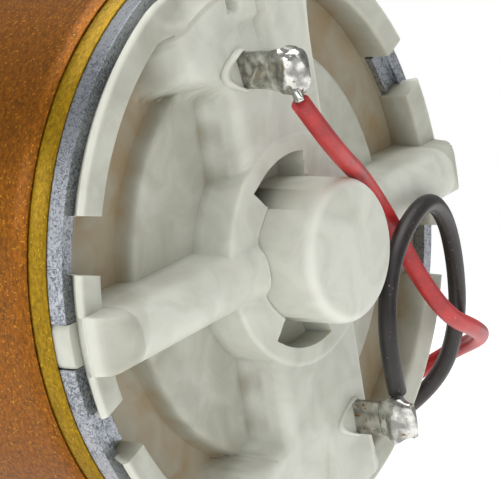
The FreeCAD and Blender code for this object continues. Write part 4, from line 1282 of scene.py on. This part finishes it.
# ---- terminals --------------------------------------------------------------------------------
@dataclass(frozen=True)
class Terminal:
    """What hand soldering left at one terminal: the solder, the bare strands and the melted nylon.

    Attributes:
        name: upper or lower.
        lead: Colour name of its lead.
        u: Place of the tab along the rib.
        v: Place of the tab across it.
        start: Where the lead's insulation begins.
        base: Height at which the solder begins.
        tip: Height at which it ends.
        crown: Where along it the lump is thickest, as a share.
        bulge: How far the lump stands off the tab.
        half_through: Half the coat's thickness over both faces of the tab.
        half_across: Half its width.
        squareness: Power that squares the coat's section, 1 being round.
    """

    name: str
    lead: str
    u: float
    v: float
    start: Point
    base: float
    tip: float
    crown: float
    bulge: float
    half_through: float = 0.3
    half_across: float = 1.05
    squareness: float = 0.55

    def solder(self, material: bpy.types.Material) -> bpy.types.Object:
        """Builds the solder: a thin coat round the tab that swells to a lump near its tip.

        Args:
            material: The solder's material.

        Returns:
            The solder's object.
        """
        points = []
        stacks, sides = 36, 56
        side = 1 if self.v > 0 else -1
        for stack in range(stacks + 1):
            share = stack / stacks
            closing = max(0.0, 1 - abs(2 * share - 1) ** 9) ** 0.5
            swell = math.exp(-((share - self.crown) / 0.24) ** 2)
            for corner in range(sides):
                angle = 2 * math.pi * corner / sides
                cos, sin = math.cos(angle), math.sin(angle)
                across = math.copysign(abs(cos) ** self.squareness, cos)
                through = math.copysign(abs(sin) ** self.squareness, sin)
                lump = 1 + swell * (0.26 * wrinkle((across, through, share * 3), 0.9, self.u)
                                    + 0.08 * wrinkle((across, through, share * 3), 0.35, self.v))
                drawn = 0.22 * swell * max(0.0, -side * across)
                thick = (self.half_through + self.bulge * swell) * closing * through * lump
                wide = (self.half_across + 0.16 * swell) * closing * across * (lump + drawn)
                height = self.base + (self.tip - self.base) * share
                points.append(cap_point(self.u + thick, self.v + wide, height))
        piece = make_piece(self.name + "_solder_joint", points, skin(stacks + 1, sides))
        weld = piece.modifiers.new("weld", "WELD")
        weld.merge_threshold = 0.001 * MM
        piece.data.materials.append(material)
        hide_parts(self.name + "_solder")
        return piece

    def strands(self, material: bpy.types.Material) -> bpy.types.Object:
        """Builds the twisted bare conductor between the solder and the insulation.

        Args:
            material: The tinned strands' material.

        Returns:
            The strands' object.
        """
        side = 1 if self.v > 0 else -1
        crown = self.base + (self.tip - self.base) * self.crown
        first = Vector(cap_point(self.u, self.v - side * 0.6, crown))
        last = Vector(self.start)
        path = [first.lerp(last, i / 12) for i in range(13)]
        points, faces = swept(path, lambda share, angle: 0.27 + 0.04 * math.cos(6 * angle + 9 * share), 36)
        piece = make_piece(self.lead + "_bare_strands", points, faces)
        piece.data.materials.append(material)
        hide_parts(self.lead + "_lead_strands")
        return piece

    def melted_lip(self, material: bpy.types.Material) -> bpy.types.Object:
        """Builds the ring of nylon that melted up round the tab.

        Args:
            material: The nylon's material.

        Returns:
            The lip's object.
        """
        points = []
        steps, sides = 40, 14
        for step in range(steps):
            angle = 2 * math.pi * step / steps
            swell = 0.3 + 0.12 * wrinkle((math.cos(angle) * 2, math.sin(angle) * 2, self.v), 1.1)
            for corner in range(sides):
                around = 2 * math.pi * corner / sides
                reach = 1 + swell * math.cos(around)
                wide = 1 + 1.5 * max(0.0, math.cos(angle)) ** 2
                points.append(cap_point(self.u + (0.28 + 0.38 * reach) * wide * math.cos(angle),
                                        self.v + (0.72 + 0.38 * reach) * math.sin(angle),
                                        2.62 + (swell * 0.9) * math.sin(around)))
        piece = make_piece(self.name + "_melted_lip", points, skin(steps, sides, closed=True))
        piece.data.materials.append(material)
        return piece

    def build(self, tin: bpy.types.Material, nylon: bpy.types.Material) -> None:
        """Builds every piece of the joint and reports it.

        Args:
            tin: Material of the solder and the strands.
            nylon: Material of the melted lip.
        """
        for piece in (self.solder(tin), self.strands(tin), self.melted_lip(nylon)):
            LOG.info("%s built", piece.name)


# ---- leads ------------------------------------------------------------------------------------
WIRE_DIAMETER = 0.0011      # over the insulation, in metres
COIL_X = -0.030             # middle of the coil, in metres
COIL_Y = -0.0195
COIL_LOW = -0.01755         # height of the lowest turn's centreline, in metres
CURVE_PULL = 1.008          # makes up for the curve's cutting inside its points
TINNED_LENGTH = 3.0         # bare tinned end of each lead
TINNED_INSIDE = 0.2         # how far that end starts inside the insulation


@dataclass(frozen=True)
class Lead:
    """One lead from its terminal to the tied coil behind the motor.

    Attributes:
        name: Its colour name.
        route: Points from the terminal to the coil, in metres.
        coil_radius: Radius of the coil's turns, in metres.
        coil_top: Height of the first turn, in metres.
        turns: How many turns it makes.
        tail: Points from the coil to the end of the insulation, in metres.
        length: Length of the insulation, in metres; not used.
        finish: Its insulation.
    """

    name: str
    route: tuple[Point, ...]
    coil_radius: float
    coil_top: float
    turns: float
    tail: tuple[Point, ...]
    length: float
    finish: WireInsulation

    def coil(self) -> list[Point]:
        """Places the turns, seen from above counter-clockwise and downwards.

        Returns:
            The points of the turns, in metres.
        """
        per_turn = 16
        count = int(self.turns * per_turn)
        drawn = self.coil_radius * CURVE_PULL
        points = []
        for step in range(1, count):
            angle = -math.pi / 2 + 2 * math.pi * step / per_turn
            height = self.coil_top + (COIL_LOW - self.coil_top) * step / count
            points.append((COIL_X + drawn * math.cos(angle), COIL_Y + drawn * math.sin(angle), height))
        return points

    def build(self) -> bpy.types.Object:
        """Returns:
            The lead's object.
        """
        points = [*self.route, *self.coil(), *self.tail]
        curve = bpy.data.curves.new(self.name + "_wire", "CURVE")
        curve.dimensions = "3D"
        spline = curve.splines.new("NURBS")
        spline.points.add(len(points) - 1)
        for point, place in zip(spline.points, points):
            point.co = (*place, 1.0)
        spline.order_u = 3
        spline.use_endpoint_u = True
        spline.resolution_u = 10
        curve.bevel_depth = WIRE_DIAMETER / 2
        curve.bevel_resolution = 8
        curve.use_fill_caps = True
        wire = bpy.data.objects.new(self.name + "_wire", curve)
        bpy.context.scene.collection.objects.link(wire)
        curve.materials.append(self.finish.material())
        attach(wire, "stator")
        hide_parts(self.name + "_lead", self.name + "_lead_coil")
        return wire


RED_ROUTE: tuple[Point, ...] = (
    (-0.0598, 0.0061, 0.0080), (-0.0598, 0.0039, 0.0064), (-0.0592, 0.0012, 0.0052),
    (-0.0575, -0.0032, 0.0042),
    (-0.0569, -0.0069, 0.0019), (-0.0571, -0.0098, -0.0014), (-0.0573, -0.0132, -0.0041),
    (-0.0566, -0.0174, -0.0049), (-0.0550, -0.0210, -0.0056), (-0.0514, -0.0228, -0.0068),
    (-0.0474, -0.0230, -0.0092), (-0.0434, -0.0236, -0.0112), (-0.0390, -0.0244, -0.0122),
    (-0.0348, -0.0249, -0.0124), (-0.0314, -0.0250, -0.0129))
BLACK_ROUTE: tuple[Point, ...] = (
    (-0.0585, -0.0060, -0.0082), (-0.0590, -0.0042, -0.0059), (-0.0587, -0.0043, -0.0020),
    (-0.0584, -0.0062, 0.0011), (-0.0578, -0.0098, 0.0031), (-0.0567, -0.0135, 0.0020),
    (-0.0560, -0.0159, -0.0009), (-0.0551, -0.0178, -0.0045), (-0.0532, -0.0192, -0.0080),
    (-0.0494, -0.0202, -0.0109), (-0.0450, -0.0224, -0.0127), (-0.0404, -0.0244, -0.0138),
    (-0.0354, -0.0258, -0.0141), (-0.0306, -0.0261, -0.0141))
RED_TAIL: tuple[Point, ...] = (
    (-0.0300, -0.0140, -0.0175), (-0.0322, -0.0147, -0.0175), (-0.0336, -0.0165, -0.01755),
    (-0.0337, -0.0188, -0.0176))
BLACK_TAIL: tuple[Point, ...] = (
    (-0.0300, -0.02615, -0.0175), (-0.0266, -0.0261, -0.0175), (-0.0230, -0.0254, -0.0176))


@dataclass(frozen=True)
class LeadPair:
    """Both leads, their tinned ends and the band that ties their coils.

    Attributes:
        red: The lead on the upper terminal.
        black: The lead on the lower terminal.
    """

    red: Lead
    black: Lead

    def tinned_end(self, lead: Lead, material: bpy.types.Material) -> bpy.types.Object:
        """Builds the tinned end of a lead.

        Args:
            lead: The lead it belongs to.
            material: The tinned strands' material.

        Returns:
            The end's object.
        """
        last, before = Vector(lead.tail[-1]) / MM, Vector(lead.tail[-2]) / MM
        ahead = (last - before).normalized()
        path = [last + ahead * (TINNED_LENGTH * i / 10 - TINNED_INSIDE) for i in range(11)]
        points, faces = swept(path, lambda share, angle: (0.28 + 0.025 * math.cos(6 * angle + 8 * share))
                              * (1 - 0.5 * max(0.0, share - 0.9) * 8), 30)
        piece = make_piece(lead.name + "_tinned_end", points, faces)
        piece.data.materials.append(material)
        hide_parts(lead.name + "_lead_tip")
        return piece

    def tie(self) -> bpy.types.Object:
        """Builds the soft nylon band round one side of both coils.

        Returns:
            The band's object.
        """
        low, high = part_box("lead_tie")
        low, high = Vector(low) / MM, Vector(high) / MM
        middle, half = (low + high) / 2, (high - low) / 2
        thickness, squareness = 0.33, 5.0
        sections = 72
        points = []
        across = ((-1.0, 0.0), (-0.93, 0.9), (-0.8, 1.0), (0.8, 1.0), (0.93, 0.9), (1.0, 0.0), (0.9, 0.0),
                  (-0.9, 0.0))
        for step in range(sections):
            angle = 2 * math.pi * step / sections
            cos, sin = math.cos(angle), math.sin(angle)
            reach = (abs(cos) ** squareness + abs(sin) ** squareness) ** (-1 / squareness)
            for y_share, out in across:
                inset = thickness * (1 - out)
                points.append((middle.x + (half.x - inset) * cos * reach, middle.y + half.y * y_share,
                               middle.z + (half.z - inset) * sin * reach))
        piece = make_piece("coil_tie_band", points, skin(sections, len(across), closed=True))
        piece.data.materials.append(TIE_NYLON.material())
        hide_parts("lead_tie")
        return piece

    def build(self, tin: bpy.types.Material) -> None:
        """Builds the leads and everything on them.

        Args:
            tin: Material of the tinned ends.
        """
        band = self.tie()
        LOG.info("%s built", band.name)
        for lead in (self.red, self.black):
            wire = lead.build()
            end = self.tinned_end(lead, tin)
            LOG.info("%s and %s built", wire.name, end.name)


# ---- studio -----------------------------------------------------------------------------------
@dataclass(frozen=True)
class SoftLight:
    """A rectangular soft box.

    Attributes:
        name: Its name.
        place: Where it stands, in metres.
        target: What it points at, in metres.
        size: Its width and height in metres.
        power: Its power in watts.
    """

    name: str
    place: Point
    target: Point
    size: tuple[float, float]
    power: float

    def build(self) -> None:
        """Adds the light to the scene."""
        data = bpy.data.lights.new(self.name, "AREA")
        data.shape = "RECTANGLE"
        data.size, data.size_y = self.size
        data.energy = self.power
        light = bpy.data.objects.new(self.name, data)
        light.location = self.place
        ahead = Vector(self.target) - Vector(self.place)
        light.rotation_euler = ahead.to_track_quat("-Z", "Y").to_euler()
        bpy.context.scene.collection.objects.link(light)


@dataclass(frozen=True)
class Studio:
    """A pale table, a dim surround with one bright sheet, three soft boxes and the camera.

    Attributes:
        floor: Height of the table in millimetres.
        lens: Focal length on a 36 mm wide frame.
        eye: Where the camera stands, in millimetres.
        right: The camera's right.
        up: The camera's up.
        reach: How far the table reaches, in metres.
        sheet: The way towards the bright sheet.
    """

    floor: float = -18.5
    lens: float = 187.2
    eye: Point = (-141.37, 119.51, 3.11)
    right: Point = (-0.8006, -0.5987, 0.0241)
    up: Point = (0.0301, 0.0, 0.9995)
    reach: float = 6.0
    sheet: Point = (0.6, -0.8, 0.0)

    def camera(self) -> None:
        """Adds the camera and makes it the scene's own."""
        data = bpy.data.cameras.new("camera")
        data.lens = self.lens
        data.sensor_width = 36.0
        data.clip_start = 0.001
        data.clip_end = 50.0
        camera = bpy.data.objects.new("camera", data)
        right = Vector(self.right).normalized()
        up = Vector(self.up)
        up = (up - right * up.dot(right)).normalized()
        back = right.cross(up)
        turn = Matrix((right, up, back)).transposed().to_4x4()
        camera.matrix_world = Matrix.Translation(Vector(self.eye) * MM) @ turn
        bpy.context.scene.collection.objects.link(camera)
        bpy.context.scene.camera = camera

    def table(self) -> None:
        """Adds the table, wide enough to meet the surround far away."""
        mesh = bpy.data.meshes.new("table")
        signs = ((-1, -1), (1, -1), (1, 1), (-1, 1))
        corners = [(x * self.reach, y * self.reach, self.floor * MM) for x, y in signs]
        mesh.from_pydata(corners, [], [[0, 1, 2, 3]])
        table = bpy.data.objects.new("table", mesh)
        bpy.context.scene.collection.objects.link(table)
        material, shader = new_material("white_card")
        tree = material.node_tree
        weave = add(tree, "ShaderNodeTexNoise", values={"Scale": per_mm(0.8), "Detail": 3.0},
                    links={"Vector": place_of(tree)})
        bump = add(tree, "ShaderNodeBump", values={"Strength": 0.05, "Distance": 0.05 * MM},
                   links={"Height": weave.outputs["Fac"]})
        plug(tree, shader, {"Normal": bump.outputs["Normal"]})
        shader.inputs["Base Color"].default_value = linear("#C4C4C2")
        shader.inputs["Roughness"].default_value = 0.85
        shader.inputs["Emission Color"].default_value = linear("#FFFFFF")
        shader.inputs["Emission Strength"].default_value = 0.8
        mesh.materials.append(material)

    def surround(self) -> None:
        """Lights the room: dim all round, with a bright sheet behind the table."""
        world = bpy.data.worlds.new("surround")
        bpy.context.scene.world = world
        world.use_nodes = True
        tree = world.node_tree
        tree.nodes.clear()
        place = add(tree, "ShaderNodeTexCoord")
        facing = add(tree, "ShaderNodeVectorMath", {"operation": "DOT_PRODUCT"}, {1: self.sheet},
                     {0: place.outputs["Generated"]})
        side = add(tree, "ShaderNodeValToRGB", links={"Fac": facing.outputs["Value"]},
                   stops=((0.0, grey(0.3)), (0.92, grey(0.34)), (0.98, grey(1.0))))
        light = add(tree, "ShaderNodeBackground", values={"Strength": 1.0},
                    links={"Color": side.outputs["Color"]})
        add(tree, "ShaderNodeOutputWorld", links={"Surface": light.outputs["Background"]})

    def build(self) -> None:
        """Builds the whole studio."""
        for light in (SoftLight("overhead", (-0.05, 0.05, 0.42), (-0.03, 0.0, 0.0), (0.5, 0.35), 1.5),
                      SoftLight("end_fill", (-0.42, 0.16, 0.2), (-0.05, 0.0, 0.0), (0.3, 0.3), 0.26),
                      SoftLight("side_fill", (0.1, 0.45, 0.12), (-0.03, 0.0, 0.0), (0.3, 0.2), 0.5)):
            light.build()
            LOG.info("%s light set", light.name)
        self.table()
        self.surround()
        self.camera()
        bpy.context.scene.view_settings.view_transform = "Standard"
        LOG.info("camera set")


# ---- the whole motor --------------------------------------------------------------------------
def main() -> None:
    """Builds and dresses every piece."""
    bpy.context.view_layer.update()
    Studio().build()
    dress_cad_nodes()
    FilmWrap("inner_film", inner=17.61, thickness=0.13, rear=-52.05, front=-23.7, lap=-110.0,
             finish=INNER_FILM).build()
    FilmWrap("outer_film", inner=17.75, thickness=0.13, rear=-50.85, front=-23.7, lap=-100.0,
             finish=OUTER_FILM).build()
    cap = EndCap().build()
    nylon = cap.data.materials[0]
    tin = SOLDER.material()
    for joint in (Terminal("upper", "red", u=2.7, v=11.1, start=(-59.8, 6.1, 8.0), base=2.75, tip=7.0,
                           crown=0.74, bulge=0.48),
                  Terminal("lower", "black", u=-2.7, v=-11.1, start=(-58.5, -6.0, -8.2), base=4.3, tip=6.85,
                           crown=0.5, bulge=0.4)):
        joint.build(tin, nylon)
    red = Lead("red", RED_ROUTE, coil_radius=0.0055, coil_top=-0.013525, turns=3.5, tail=RED_TAIL,
               length=0.187, finish=RED_PVC)
    black = Lead("black", BLACK_ROUTE, coil_radius=0.00665, coil_top=-0.0141, turns=3.0, tail=BLACK_TAIL,
                 length=0.189, finish=BLACK_PVC)
    LeadPair(red, black).build(tin)
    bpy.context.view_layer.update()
    LOG.info("boxes written")


if __name__ == "__main__":
    logging.basicConfig(level=logging.INFO, format="%(name)s: %(message)s")
    main()
